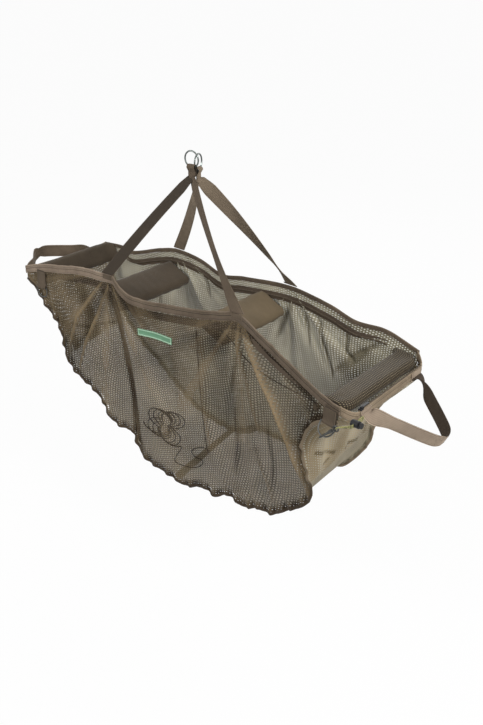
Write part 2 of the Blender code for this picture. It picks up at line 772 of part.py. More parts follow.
def strap_patch(side, end, name):
    """The sewn end of a strap, flat on the outside of the rim band."""
    left, right = hinge_point(side, -1), hinge_point(side, 1)
    hinge = (right - left).normalized()
    top = hinge_point(side, end) - Vector((0, 0, STRAP_THICK + GAP))
    rings = []
    for drop in (0, PATCH_LENGTH / 2, PATCH_LENGTH):
        ring = []
        for out in (0, STRAP_THICK):
            for f in (-1, 1) if not out else (1, -1):
                x = top.x + f * STRAP_WIDTH / 2 * hinge.x
                z = top.z + f * STRAP_WIDTH / 2 * hinge.z - drop
                ring.append(wall(side, x, z, BAND_THICK / 2 + FABRIC_GAP + out))
        rings.append(ring)
    loft(name, rings, WEBBING)


def handle_foot(end):
    """The middle of the line about which a handle swings, just outside its sewn ends."""
    out = BAND_THICK / 2 + FABRIC_GAP + HANDLE_THICK + RUN + HANDLE_THICK / 2
    return end_edge(end, 0) + Vector((end * out, 0, -FRONT_BAND_HEIGHT / 2))


def carry_handle(end, name, reach, droop):
    """A loop of webbing that stands out from the end of the mouth, on its edge."""
    foot = handle_foot(end)
    slope = math.radians(droop)
    out = Vector((end * math.cos(slope), 0, -math.sin(slope)))
    plane = Vector((0, 1, 0)).cross(out)
    half = [(0, -1), (0.10, -0.97), (0.36, -0.72), (0.66, -0.47), (0.90, -0.25), (0.985, -0.10)]
    route = [Vector((x, y, 0)) for x, y in [*half, (1.0, 0.0), *[(x, -y) for x, y in reversed(half)]]]
    steps = 32
    flat = [spline(route, i / steps) for i in range(steps + 1)]
    points = [foot + out * (p.x * reach) + Vector((0, p.y * HANDLE_HALF_SPAN, 0)) for p in flat]
    points[0] -= out * HANDLE_NOSE
    points[-1] -= out * HANDLE_NOSE
    stations = []
    for i, point in enumerate(points):
        along = (points[min(i + 1, steps)] - points[max(i - 1, 0)]).normalized()
        if i in (0, steps):
            along = out * (1 if i == 0 else -1)
        turned = min(1.0, max(0.0, (0.5 - abs(i / steps - 0.5) - 0.02) / HANDLE_TWIST))
        angle = math.pi / 2 * turned * turned * (3 - 2 * turned)
        across = plane.cross(along) * math.cos(angle) + plane * math.sin(angle)
        width = HANDLE_WIDTH * (1 - HANDLE_GATHER * math.exp(-(((i / steps) - 0.5) / 0.08) ** 2))
        stations.append((point, across, width))
    ribbon(name, stations, HANDLE_THICK, WEBBING)
    pivot(name, foot)


def handle_patch(end, side, name):
    """A sewn end of a handle, flat on the outside of the mouth's end."""
    rings = []
    for y in (HANDLE_HALF_SPAN - HANDLE_WIDTH / 2, HANDLE_HALF_SPAN + HANDLE_WIDTH / 2):
        edge = end_edge(end, side * y / (CORNER_HALF_WIDTH + end * END_SPLAY))
        high = edge.z - 0.001
        low = edge.z - FRONT_BAND_HEIGHT + 0.001
        near = edge.x + end * (BAND_THICK / 2 + FABRIC_GAP)
        far = near + end * HANDLE_THICK
        rings.append([Vector((near, side * y, high)), Vector((far, side * y, high)), Vector((far, side * y, low)), Vector((near, side * y, low))])
    loft(name, rings, WEBBING)


def tab_frame(place_):
    """The middle of a D-ring's bar, the direction along the bar and the one out of the bag."""
    x, drop, lift = place_
    z = rim(-1, x).z - FRONT_BAND_HEIGHT - drop
    half = TAB_WIDTH / 2
    along = (wall(-1, x + half, z) - wall(-1, x - half, z)).normalized()
    out = Vector((along.y, -along.x, 0)).normalized()
    bar = wall(-1, x, z) + out * (lift + HANDLE_THICK + RUN + D_WIRE)
    return bar, Vector((along.x, along.y, 0)).normalized(), out


def ring_tab(name, place_, top_drop):
    """A folded piece of webbing that carries a D-ring's bar in its fold."""
    bar, along, out = tab_frame(place_)
    x, _, lift = place_
    radius = D_WIRE + RUN + HANDLE_THICK / 2
    top_z = rim(-1, x).z - top_drop
    inner_top = wall(-1, x, top_z) + out * (lift + HANDLE_THICK / 2)
    inner_top.x = bar.x
    outer_top = inner_top + out * (HANDLE_THICK + GAP * 2)
    pinch = Vector((outer_top.x, 0, bar.z + radius * 2.4))
    pinch.y = outer_top.y + (bar.y - outer_top.y) * 0.6
    stations = [(outer_top, along, TAB_WIDTH), (pinch, along, TAB_WIDTH)]
    for i in range(-2, 9):
        a = math.pi * i / 8
        point = bar + out * (radius * math.cos(a)) - Vector((0, 0, radius * math.sin(a)))
        stations.append((point, along, TAB_WIDTH))
    stations.append((inner_top, along, TAB_WIDTH))
    ribbon(name, stations, HANDLE_THICK, WEBBING)


def d_ring(name, place_, swing):
    """A wire D whose bar lies along the wall; swing turns its bow outward. Gives the middle of the bow."""
    bar, along, out = tab_frame(place_)
    half = along * (TAB_WIDTH / 2 + D_SPARE)
    turn = math.radians(swing)
    down = (out * math.sin(turn) - Vector((0, 0, math.cos(turn)))) * D_DEPTH
    path = [bar + half * f for f in (-0.85, 0, 0.85, 1)]
    path += [bar + half * math.cos(math.pi * i / 14) + down * math.sin(math.pi * i / 14) ** 0.75 for i in range(1, 14)]
    path.append(bar - half)
    tube(name, path, D_WIRE, DARK_STEEL, sides=8, closed=True)
    pivot(name, bar)
    return bar + down


def joined(name, first, *others):
    """One solid from several that overlap."""
    for other in others:
        step = first.modifiers.new("join", "BOOLEAN")
        step.operation = "UNION"
        step.solver = "EXACT"
        step.object = other
    return settle(name, first, others)


def cut(name, first, *others):
    """A solid less the others."""
    for other in others:
        step = first.modifiers.new("cut", "BOOLEAN")
        step.operation = "DIFFERENCE"
        step.solver = "EXACT"
        step.object = other
    return settle(name, first, others)


def settle(name, first, others):
    bpy.context.view_layer.update()
    shape = bpy.data.meshes.new_from_object(first.evaluated_get(bpy.context.evaluated_depsgraph_get()))
    first.modifiers.clear()
    first.data = shape
    for other in others:
        bpy.data.objects.remove(other)
    first.name = name
    return first


def rod(name, start, end, radius, surface, sides=16):
    return loft(name, tube_rings([Vector(start), Vector(end)], radius, sides), surface, smooth=50)


def block(name, low, high, surface):
    x0, y0, z0 = low
    x1, y1, z1 = high
    rings = [[Vector((x, y, z)) for x, z in ((x0, z0), (x1, z0), (x1, z1), (x0, z1))] for y in (y0, y1)]
    return loft(name, rings, surface)


# Snap clip, its lanyard and the cord lock


def clip_axes():
    """Along the clip from its hook to its eye, outward from the wall, and square to both."""
    lean = math.radians(CLIP_LEAN)
    along = Vector((math.cos(lean), 0, math.sin(lean)))
    out = Vector((0, -1, 0))
    return along, out, along.cross(out)


def snap_clip(hold):
    along, out, _ = clip_axes()

    def at(a, b):
        return hold + along * a + out * b

    bend = CLIP_HOOK_RADIUS
    path = [at(CLIP_BARREL_END, 0), at(CLIP_BARREL_END - 0.001, 0), at(0.028, 0), at(0.0255, 0.0004), at(0.022, 0.0025)]
    path += [at(0.0165, 0.0055), at(0.0095, bend - 0.0002)]
    for i in range(9):
        a = math.pi * i / 8
        path.append(at(CLIP_HOOK_MIDDLE - bend * math.sin(a), bend * math.cos(a)))
    path.append(at(CLIP_TIP, -bend))
    sizes = [0.0036, 0.0044, 0.0044, 0.0040, 0.0028] + [CLIP_WIRE] * (len(path) - 5)
    rings = tube_rings(path, 1.0, 10)
    rings = [[p + (q - p) * size for q in ring] for p, ring, size in zip(path, rings, sizes)]
    loft("snap_clip", rings, DARK_STEEL, smooth=50)
    gate = [at(*GATE_FOOT), at(*GATE_FOOT).lerp(at(*GATE_TIP), 0.5), at(*GATE_TIP)]
    tube("clip_gate", gate, GATE_WIRE, BRIGHT_STEEL, sides=8)
    pivot("snap_clip", hold)
    pivot("clip_gate", gate[0])


def clip_eye(hold):
    along, out, square = clip_axes()
    middle = hold + along * EYE_MIDDLE
    path = [middle + (along * math.cos(math.pi * i / 10) + square * math.sin(math.pi * i / 10)) * EYE_RADIUS for i in range(20)]
    ring = tube("eye_ring", path, EYE_WIRE, DARK_STEEL, sides=8, closed=True)
    foot = hold + along * (CLIP_BARREL_END + RUN)
    stem = rod("eye_stem", foot, middle - along * (EYE_RADIUS - EYE_WIRE * 0.4), 0.0026, DARK_STEEL, sides=12)
    joined("clip_eye", ring, stem)
    pivot("clip_eye", foot)


def lock_axes():
    """Through the cord lock along its cords, and out along its button."""
    through = (Vector(LOOP_END) - Vector(LOCK_MIDDLE)).normalized()
    button = Vector((1, 0, 0.12))
    button = (button - through * button.dot(through)).normalized()
    return through, button, through.cross(button)


def cord_lock():
    through, button, side = lock_axes()
    middle = Vector(LOCK_MIDDLE)
    body = rod("lock_body", middle - button * LOCK_BELOW, middle + button * LOCK_ABOVE, LOCK_RADIUS, BLACK_PLASTIC, sides=20)
    ends = [middle - through * 0.02, middle + through * 0.02]
    wide = side * (CAMO_RADIUS * 2 + CAMO_SPACE / 2 + RUN)
    tall = button * (CAMO_RADIUS + RUN * 1.6)
    slot = loft("lock_slot", [[p - wide - tall, p + wide - tall, p + wide + tall, p - wide + tall] for p in ends], BLACK_PLASTIC)
    bore = rod("lock_bore", middle + button * LOCK_BORE, middle + button * 0.02, BUTTON_RADIUS + RUN, BLACK_PLASTIC, sides=16)
    cut("cord_lock", body, slot, bore)
    foot = middle + button * (LOCK_BORE + BUTTON_TRAVEL + RUN)
    head = middle + button * (LOCK_ABOVE + BUTTON_TRAVEL + RUN)
    stem = rod("button_stem", foot, head + button * 0.001, BUTTON_RADIUS, BLACK_PLASTIC, sides=16)
    cap = rod("button_cap", head, head + button * 0.0035, LOCK_RADIUS * 0.8, BLACK_PLASTIC, sides=20)
    joined("cord_lock_button", cap, stem)
    pivot("cord_lock", middle)
    pivot("cord_lock_button", foot)


def cord_curve(name, points, radius, surface, resolution=2):
    """A round cord through points, with closed ends."""
    curve = bpy.data.curves.new(name, "CURVE")
    curve.dimensions = "3D"
    curve.bevel_depth = radius
    curve.bevel_resolution = resolution
    curve.use_fill_caps = True
    line = curve.splines.new("POLY")
    line.points.add(len(points) - 1)
    for spot, point in zip(line.points, points):
        spot.co = (*point, 1)
    curve.materials.append(surface)
    made = bpy.data.objects.new(name, curve)
    bpy.context.scene.collection.objects.link(made)
    return made


def straight_ends(points, radius):
    """Makes the first and last diameter of a cord straight."""
    first = points[0] + (points[1] - points[0]).normalized() * 2 * radius
    last = points[-1] + (points[-2] - points[-1]).normalized() * 2 * radius
    middle = [p for p in points[1:-1] if (p - points[0]).length > 3.2 * radius and (p - points[-1]).length > 3.2 * radius]
    return [points[0], first, *middle, last, points[-1]]


def lanyard(hold):
    """A loop through the clip's eye and the cord lock; its two ends meet beyond the lock."""
    along, out, _ = clip_axes()
    through, _, side = lock_axes()
    middle = Vector(LOCK_MIDDLE)
    wire = hold + along * (EYE_MIDDLE + EYE_RADIUS)
    bend = EYE_WIRE + CAMO_RADIUS + RUN
    around = []
    for angle in (-25, -60, -95, -130, -165, -200, -235):
        a = math.radians(angle)
        around.append(wire + (along * math.cos(a) - out * math.sin(a)) * bend)
    apart = side * (CAMO_RADIUS + CAMO_SPACE / 2)
    strands = []
    for sign in (-1, 1):
        inside = [middle + through * step + apart * sign for step in (-0.0135, -0.0070, 0.0, 0.0070, 0.0125)]
        inside.append(Vector(LOOP_END) - through * 0.006 + apart * (sign * 1.6))
        inside.append(Vector(LOOP_END) + side * ((CAMO_RADIUS + GAP) * sign))
        strands.append(inside)
    if (around[0] - strands[0][0]).length > (around[0] - strands[1][0]).length:
        strands.reverse()
    route = list(reversed(strands[0])) + around + strands[1]
    cord_curve("clip_lanyard", straight_ends(resample(route, 56), CAMO_RADIUS), CAMO_RADIUS, CAMO_FIBRE)
    pivot("clip_lanyard", hold + along * (CLIP_BARREL_END + RUN))


# Retention cord and its hank


def floor_height(x, y, radius):
    """Where the middle of a cord lies that rests on the base at x and y."""
    line = []
    for front, back in zip(BASE_MIDDLE[-1], BASE_MIDDLE[1]):
        near, far = wall(-1, front.x, front.z), wall(1, back.x, back.z)
        line.append(near.lerp(far, (y - near.y) / (far.y - near.y)))
    for a, b in zip(line[LEFT_FOLD:RIGHT_FOLD], line[LEFT_FOLD + 1 :]):
        if a.x <= x <= b.x:
            level = (b.x - a.x) / (b - a).length
            return a.z + (b.z - a.z) * (x - a.x) / (b.x - a.x) + (FABRIC / 2 + radius + CORD_REST) / level
    return line[RIGHT_FOLD].z


def hank_points():
    """One unbroken cord: four loops inward on the base, then four outward on top of them."""
    turn = math.radians(HANK_TURN)
    long_way = Vector((math.cos(turn), math.sin(turn), 0))
    wide_way = Vector((-math.sin(turn), math.cos(turn), 0))
    points = []
    half = HANK_LOOPS / 2
    for i in range(HANK_LOOPS * 24 + 1):
        t = i / 24
        layers = min(1.0, max(0.0, (t - half + 0.25) / 0.5))
        out = abs(half - t)
        a = HANK_START - 2 * math.pi * t
        x = (HANK_HALF_LENGTH + out * HANK_STEP) * math.cos(a)
        pinch = math.exp(-((x / HANK_PINCH) ** 2))
        lobe = HANK_HALF_WIDTH + out * HANK_STEP
        waist = HANK_WAIST + out * HANK_WAIST_STEP
        y = (lobe + (waist - lobe) * pinch) * math.sin(a)
        spot = Vector((*HANK_MIDDLE, 0)) + long_way * x + wide_way * y
        rest = floor_height(spot.x, spot.y, CORD_RADIUS)
        points.append(Vector((spot.x, spot.y, rest + layers * HANK_LAYER_RISE)))
    return points


def least_gap(points, radius):
    """The least gap between parts of a cord that lie more than a few steps apart."""
    best = 1.0
    for i, a in enumerate(points):
        for b in points[i + 5 :]:
            best = min(best, (a - b).length)
    return best - 2 * radius


def retention_cord():
    hank = hank_points()
    print(f"least gap of the hank to itself: {least_gap(hank, CORD_RADIUS) * 1000:.2f} mm")
    cord_curve("cord_hank", straight_ends(hank, CORD_RADIUS), CORD_RADIUS, CORD_FIBRE, resolution=1)
    lead = (hank[0] - hank[1]).normalized()
    meet = hank[0] + lead * GAP
    floor = [Vector((x, y, floor_height(x, y, CORD_RADIUS))) for x, y in CORD_ON_BASE]
    route = [Vector(p) for p in CORD_ROUTE] + floor + [meet + lead * 0.012, meet]
    run = straight_ends(resample(route, 80), CORD_RADIUS)
    for point in run[:-3]:
        if point.x < CORD_ON_BASE[0][0] + 0.02 or point.z < CORD_LOW:
            point.z = max(point.z, floor_height(point.x, point.y, CORD_RADIUS))
    cord_curve("retention_cord", run, CORD_RADIUS, CORD_FIBRE)
    total = sum((b - a).length for a, b in zip(run, run[1:])) + sum((b - a).length for a, b in zip(hank, hank[1:]))
    print(f"length of the retention cord: {total:.2f} m")


def cord_anchor():
    """A small tab on the inside of the front wall that holds the cord's knot."""
    start = Vector(CORD_ROUTE[0])
    rings = []
    for dx in (CORD_RADIUS * 0.4, 0.013):
        x = start.x + dx
        high, low = start.z + 0.006, start.z - 0.006
        near = -FABRIC / 2 - FABRIC_GAP
        far = near - ANCHOR_THICK
        rings.append([wall(-1, x, high, near), wall(-1, x, high, far), wall(-1, x, low, far), wall(-1, x, low, near)])
    loft("cord_anchor", rings, WEBBING)


# Zip slider, label and tape


def zip_slider():
    front, back = end_run(1)
    slope = (back.z - front.z) / (back.y - front.y)
    top = front.z + GAP + COIL_THICK
    x, y0 = front.x, front.y + 0.002
    half, leg = SLIDER_WIDTH / 2, COIL_WIDTH / 2 + RUN
    low, shelf, high = front.z + GAP + 0.0003, top + RUN, top + SLIDER_HEIGHT
    outline = [(-half, low), (-half, high), (half, high), (half, low), (leg, low), (leg, shelf), (-leg, shelf), (-leg, low)]
    rings = []
    for share, size in ((0, 0.8), (0.25, 1), (0.75, 1), (1, 0.7)):
        narrow = [(max(-half * size, min(half * size, dx)), z) for dx, z in outline]
        y = y0 + SLIDER_LENGTH * share
        rings.append([Vector((x + dx, y, z + slope * (y - front.y))) for dx, z in narrow])
    body = loft("slider_body", rings, DARK_STEEL)
    pin_y = y0 + SLIDER_LENGTH * 0.5
    lug = block("slider_lug", (x - 0.0012, pin_y - 0.003, high - 0.001), (x + 0.0012, pin_y + 0.003, high + 0.0042), DARK_STEEL)
    joined("zip_slider", body, lug)
    pivot("zip_slider", (x, pin_y, shelf))
    return Vector((x, pin_y, high + 0.0022))


def zip_puller(pin):
    """A flat pull with an open fork that straddles the slider's lug."""
    lift = 0.0009
    near, far = pin.y - 0.0016, pin.y + PULL_LENGTH
    half = PULL_WIDTH / 2
    slot = 0.0012 + RUN
    outer = [(-half, near), (half, near), (half * 0.8, far - 0.003), (half * 0.5, far), (-half * 0.5, far), (-half * 0.8, far - 0.003)]
    plate = loft("pull", [[Vector((pin.x + dx, y, pin.z + dz)) for dx, y in outer] for dz in (-lift, lift)], DARK_STEEL)
    window = block("pull_slot", (pin.x - slot, pin.y - 0.01, pin.z - 0.01), (pin.x + slot, pin.y + 0.0045, pin.z + 0.01), DARK_STEEL)
    cut("zip_puller", plate, window)
    pivot("zip_puller", pin)


def label_tag():
    rings = []
    for i in range(9):
        x = LABEL[0] + (LABEL[1] - LABEL[0]) * i / 8
        top = LABEL_TOP - LABEL_DROOP * ((i / 8) ** 2)
        near, far = FABRIC / 2 + FABRIC_GAP, FABRIC / 2 + FABRIC_GAP + LABEL_THICK
        low = top - LABEL_HEIGHT
        rings.append([wall(-1, x, top, near), wall(-1, x, top, far), wall(-1, x, low, far), wall(-1, x, low, near)])
    loft("label_tag", rings, TAG_FABRIC)


def base_cross_tape():
    """A tape across the underside of the base, between two steps of the lower seam."""
    step = min(range(SEAM_STEPS - 1), key=lambda i: abs(SEAM[1][i].x - CROSS_TAPE_X))
    rings = []
    for v in (-0.97, -0.92, -STRAIGHT_END, -0.3, 0.3, STRAIGHT_END, 0.92, 0.97):
        a, b = gusset_point(step, v), gusset_point(step + 1, v)
        left, right = a.lerp(b, 0.06), a.lerp(b, 0.94)
        down = Vector((0, 1, 0)).cross(b - a).normalized()
        near = down * (FABRIC / 2 + FABRIC_GAP)
        far = near + down * CROSS_TAPE_THICK
        rings.append([left + near, right + near, right + far, left + far])
    loft("base_cross_tape", rings, DARK_TAPE)


# Build

for panel, wall_side in (("front_panel", -1), ("back_panel", 1)):
    sheet(panel, wall_grid(wall_side), MESH_FABRIC)
base_and_ends()
seam_tape(-1, "front_seam_tape")
seam_tape(1, "back_seam_tape")
base_cross_tape()
half_band = BAND_THICK / 2
rim_strip(-1, "front_rim_band", 0, FRONT_BAND_HEIGHT, -half_band, half_band, RIM_FABRIC)
rim_strip(1, "back_rim_band", 0, BACK_BAND_HEIGHT, -half_band, half_band, WEBBING)
end_band(-1, "left_end_band")
end_band(1, "right_end_band")
tape_out = -FABRIC / 2 - GAP
tape_in = tape_out - INNER_TAPE_THICK
coil_drop = INNER_TAPE_DROP + (INNER_TAPE_HEIGHT - COIL_WIDTH) / 2
for tape_side, word in ((-1, "front"), (1, "back")):
    rim_strip(tape_side, f"{word}_inner_tape", INNER_TAPE_DROP, INNER_TAPE_HEIGHT, tape_in, tape_out, DARK_TAPE, INNER_TAPE_END)
    coil_in = tape_in - GAP - COIL_THICK
    rim_strip(tape_side, f"{word}_inner_coil", coil_drop, COIL_WIDTH, coil_in, tape_in - GAP, DARK_TAPE, INNER_TAPE_END)
end_zip()
floats()
strap(-1, "front_strap", FRONT_RING, FRONT_RING_TURN, FRONT_TWISTS)
strap(1, "back_strap", BACK_RING, BACK_RING_TURN, BACK_TWISTS)
for patch_side, word in ((-1, "front"), (1, "back")):
    strap_patch(patch_side, -1, f"{word}_left_strap_patch")
    strap_patch(patch_side, 1, f"{word}_right_strap_patch")
for ring_name, ring_middle, ring_turn in (("front_ring", FRONT_RING, FRONT_RING_TURN), ("back_ring", BACK_RING, BACK_RING_TURN)):
    flat = Vector((math.cos(math.radians(ring_turn)), math.sin(math.radians(ring_turn)), 0))
    circle = circle_ring(Vector(ring_middle), flat, Vector((0, 0, 1)), RING_RADIUS, 32)
    tube(ring_name, circle, RING_WIRE, BRIGHT_STEEL, sides=8, closed=True)
    pivot(ring_name, Vector(ring_middle) - Vector((0, 0, RING_RADIUS)))
carry_handle(-1, "left_handle", LEFT_HANDLE_REACH, LEFT_HANDLE_DROOP)
carry_handle(1, "right_handle", RIGHT_HANDLE_REACH, RIGHT_HANDLE_DROOP)
for patch_end, word in ((-1, "left"), (1, "right")):
    handle_patch(patch_end, -1, f"{word}_handle_front_patch")
    handle_patch(patch_end, 1, f"{word}_handle_back_patch")
ring_tab("left_ring_tab", LEFT_TAB, FRONT_BAND_HEIGHT * 0.8)
ring_tab("right_ring_tab", RIGHT_TAB, FRONT_BAND_HEIGHT * 0.6)
d_ring("left_d_ring", LEFT_TAB, 0.0)
held = d_ring("right_d_ring", RIGHT_TAB, RIGHT_D_SWING)
snap_clip(held)
clip_eye(held)
cord_lock()
lanyard(held)
retention_cord()
cord_anchor()
zip_puller(zip_slider())
label_tag()
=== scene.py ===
"""The looks of a recovery sling: its cloth, webbing, floats, cords and metal, and the picture's light."""

import bisect
import math

import bmesh
import bpy
import numpy as np
from mathutils import Matrix, Vector


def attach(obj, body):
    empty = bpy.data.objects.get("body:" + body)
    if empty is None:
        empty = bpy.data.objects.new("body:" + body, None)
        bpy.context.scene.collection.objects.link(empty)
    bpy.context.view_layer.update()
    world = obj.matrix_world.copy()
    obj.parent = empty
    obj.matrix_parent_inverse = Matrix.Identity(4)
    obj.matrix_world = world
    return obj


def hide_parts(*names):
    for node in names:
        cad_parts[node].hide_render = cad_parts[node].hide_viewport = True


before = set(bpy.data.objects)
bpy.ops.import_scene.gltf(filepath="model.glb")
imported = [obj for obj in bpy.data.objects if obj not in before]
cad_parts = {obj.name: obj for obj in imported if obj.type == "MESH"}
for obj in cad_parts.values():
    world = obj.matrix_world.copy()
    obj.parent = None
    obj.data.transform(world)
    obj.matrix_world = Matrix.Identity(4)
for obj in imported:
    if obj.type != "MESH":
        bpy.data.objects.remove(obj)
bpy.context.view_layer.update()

# Lengths in metres and angles in degrees, as in the solid model

# Mouth
GAP = 0.0003
FABRIC_GAP = 0.0007
RUN = 0.0006
HALF_LENGTH = 0.573
CORNER_HALF_WIDTH = 0.156
CORNER_DROP = 0.408
BACK_HALF_SPAN = 0.206
FRONT_HALF_SPAN = 0.220
STRAP_HALF_WIDTH = 0.124
STRAP_DROP = 0.334
FRONT_SHIFT = 0.016
FRONT_SKEW = 0.014
FRONT_RISE = 0.009
FRONT_TILT = 0.005
END_SPLAY = 0.005
FRONT_END_TILT = 0.013
BACK_END_TILT = 0.004
FLANK_SAG = 0.020
RIM_DIP = 0.040
FRONT_RIM = (  # share of the way and depth: the left flank, between the straps, the right flank
    ((0.12, -0.3), (0.35, -0.55), (0.70, -0.60), (0.92, -0.18)),
    ((0.04, 0.07), (0.10, 0.72), (0.20, 1.1), (0.42, 0.97), (0.70, 0.6), (0.88, 0.27)),
    ((0.25, 0.05), (0.45, 0.2), (0.65, 0.3), (0.85, 0.45)),
)
BACK_RIM = (
    ((0.26, 0.35), (0.42, 1.0), (0.78, 0.1)),
    ((0.22, 0.18), (0.42, 0.76), (0.62, 0.42)),
    ((0.32, -0.2), (0.53, 0.2), (0.76, -0.6)),
)
END_BULGE = 0.027
END_SAG = 0.018
STRAIGHT_END = 0.80
RIM_END = HALF_LENGTH - 0.004

# Bag
WALL_SPREAD = 0.045
SEAM_START_DROP = 0.012
SEAM_ALLOWANCE = 0.006
FINER = 4  # each step of the solid model's seam is so many here
SEAM_SECTIONS = (11 * FINER, 43 * FINER, 12 * FINER)
SEAM_EASE = 3 * FINER
WALL_ROWS = 96
BAG_DROP = 0.884
FRONT_SEAM = (  # x by HALF_LENGTH and drop by BAG_DROP: the left end, the base, the right end
    ((-0.925, 0.511), (-0.867, 0.554), (-0.794, 0.590), (-0.740, 0.640), (-0.712, 0.719)),
    (
        (-0.654, 0.762), (-0.524, 0.796), (-0.447, 0.826), (-0.405, 0.871), (-0.325, 0.891),
        (-0.241, 0.891), (-0.202, 0.937), (-0.147, 0.975), (-0.049, 0.986), (0.105, 1.000),
        (0.218, 0.975), (0.300, 0.984), (0.363, 0.959), (0.468, 0.964), (0.585, 0.930), (0.660, 0.919),
        (0.742, 0.876), (0.838, 0.824), (0.883, 0.774),
    ),
    ((0.845, 0.713), (0.818, 0.665), (0.817, 0.624), (0.873, 0.557)),
)
BACK_SEAM = (
    ((-0.970, 0.534), (-0.953, 0.636), (-0.881, 0.735)),
    (
        (-0.747, 0.810), (-0.611, 0.857), (-0.480, 0.919), (-0.288, 0.982), (-0.079, 1.000),
        (0.052, 0.980), (0.148, 0.941), (0.279, 0.943), (0.412, 0.932), (0.541, 0.946), (0.637, 0.952),
        (0.702, 0.912), (0.778, 0.835), (0.801, 0.781),
    ),
    ((0.824, 0.692), (0.885, 0.622), (0.951, 0.550)),
)

# Trim
FRONT_BAND_HEIGHT = 0.024
BACK_BAND_HEIGHT = 0.012
BAND_THICK = 0.004
FABRIC = 0.0015
TAPE_HEIGHT = 0.020
TAPE_THICK = 0.0014
TAPE_DROP = 0.028
TAPE_END = HALF_LENGTH - 0.083
COIL_WIDTH = 0.0045
COIL_THICK = 0.0022
END_FLOAT_WIDTH = 0.064
END_FLOAT_THICK = 0.030
END_FLOAT_BOW = 0.65
RIGHT_FLOAT = (HALF_LENGTH - 0.040, -CORNER_DROP - 0.026)  # x, z of its middle
LEFT_FLOAT = (0.052 - HALF_LENGTH, -CORNER_DROP - 0.016)
CROSS_FLOAT_WIDTH = 0.098
CROSS_FLOAT_THICK = 0.030
LEFT_CROSS_FLOAT = (-0.205, -0.404)
RIGHT_CROSS_FLOAT = (0.150, -0.398)
STRAP_WIDTH = 0.035
STRAP_THICK = 0.0018
EYE_WIDTH = 0.022
NECK_LENGTH = 0.012
STRAP_BOW = 0.009
NECK_START = 1.3
FRONT_TWISTS = ((0, 0, 3, 7, 11, 15), (0, 26, 37, 35, 30, 24))  # up the left leg, up the right one
BACK_TWISTS = ((0, 8, 15, 22, 34, 46), (180, 207, 195, 182, 167, 150, 134, 118))
PATCH_LENGTH = 0.013
HANDLE_WIDTH = 0.038
HANDLE_THICK = 0.0022
RIGHT_HANDLE_REACH = 0.153
LEFT_HANDLE_REACH = 0.118
HANDLE_HALF_SPAN = 0.104
HANDLE_NOSE = 0.0008
HANDLE_TWIST = 0.15
HANDLE_GATHER = 0.25
RIGHT_HANDLE_DROOP = 25.0
LEFT_HANDLE_DROOP = 2.0
TAB_WIDTH = 0.036
RIGHT_TAB = (HALF_LENGTH - 0.021, 0.026, 0.0030)  # x, drop below the band, lift off the wall
LEFT_TAB = (0.080 - HALF_LENGTH, 0.044, 0.0023)
RING_RADIUS = 0.020
RING_WIRE = 0.002
FRONT_RING = (0.004, -0.015, -0.014)
BACK_RING = (-0.004, 0.015, -0.028)
FRONT_RING_TURN = 8.0
BACK_RING_TURN = 109.0
D_WIRE = 0.0019
D_DEPTH = 0.030
RIGHT_D_SWING = 40.0
CLIP_LEAN = 44.0
EYE_MIDDLE = 0.0475
EYE_RADIUS = 0.0066
EYE_WIRE = 0.0017
LOCK_MIDDLE = (HALF_LENGTH + 0.039, -0.1580, -CORNER_DROP - 0.040)
LOOP_END = (HALF_LENGTH + 0.041, -0.1310, -CORNER_DROP - 0.036)
CAMO_RADIUS = 0.0017
CAMO_SPACE = 0.0010

# Cord, along the route of the solid model
CORD_RADIUS = 0.0015
HANK_LOOPS = 6
HANK_RISE = 0.0034
HANK_FAN = 15.0
HANK_STEP = 0.0062
HANK_WAIST_STEP = 0.0050
HANK_HALF_LENGTH = 0.0545
HANK_HALF_WIDTH = 0.022
HANK_WAIST = 0.0050
HANK_PINCH = 0.020
HANK_START = -0.25
CORD_REST = 0.0010
HANK_MIDDLE = (-0.128, -0.035)
HANK_TURN = -52.0
CORD_ROUTE = (
    (0.494, -0.1330, -0.4560), (0.484, -0.1310, -0.4568), (0.450, -0.1240, -0.4590),
    (0.405, -0.1190, -0.4600), (0.331, -0.1130, -0.4560), (0.262, -0.1080, -0.4380),
    (0.215, -0.1050, -0.4080), (0.180, -0.1040, -0.3905), (0.145, -0.1030, -0.3765),
    (0.110, -0.1020, -0.3610), (0.090, -0.1010, -0.3640), (0.083, -0.1000, -0.3900),
    (0.082, -0.0970, -0.4600), (0.078, -0.0880, -0.6000), (0.066, -0.0660, -0.7400),
    (0.046, -0.0360, -0.8450),
)
CORD_LOW = -0.84  # below this the cord rests on the base
CORD_ON_BASE = (
    (0.024, -0.010), (0.002, 0.000), (-0.018, -0.012), (-0.020, -0.036), (0.006, -0.050), (0.038, -0.053),
    (0.056, -0.070), (0.050, -0.090), (0.022, -0.101), (-0.020, -0.104),
)
LABEL = (-0.100, 0.022)  # the x of its sides
LABEL_TOP = -0.447
LABEL_DROOP = 0.006
LABEL_HEIGHT = 0.019


# Curves, and the lines of the mouth and of the seams, as in the solid model

CURVE_STEPS = 24
RIM_LINE_STEPS = 600
SEAM_LINE_STEPS = 800
OFF_FABRIC = FABRIC / 2 + FABRIC_GAP  # from the middle of a wall to what is sewn on it
OFF_BAND = BAND_THICK / 2 + FABRIC_GAP  # the same for what is sewn on a band
CLEAR_OF_BAND = BAND_THICK / 2 + GAP


def spline(points, t):
    """The point at share t of a smooth curve through the points, evenly spread among them."""
    spans = len(points) - 1
    place = min(max(t, 0.0), 1.0) * spans
    i = min(int(place), spans - 1)
    f = place - i
    p1, p2 = points[i], points[i + 1]
    p0 = points[i - 1] if i else p1 * 2 - p2
    p3 = points[i + 2] if i + 2 <= spans else p2 * 2 - p1
    square = 2 * p0 - 5 * p1 + 4 * p2 - p3
    return 0.5 * (2 * p1 + (p2 - p0) * f + square * f * f + (3 * p1 - p0 - 3 * p2 + p3) * f**3)


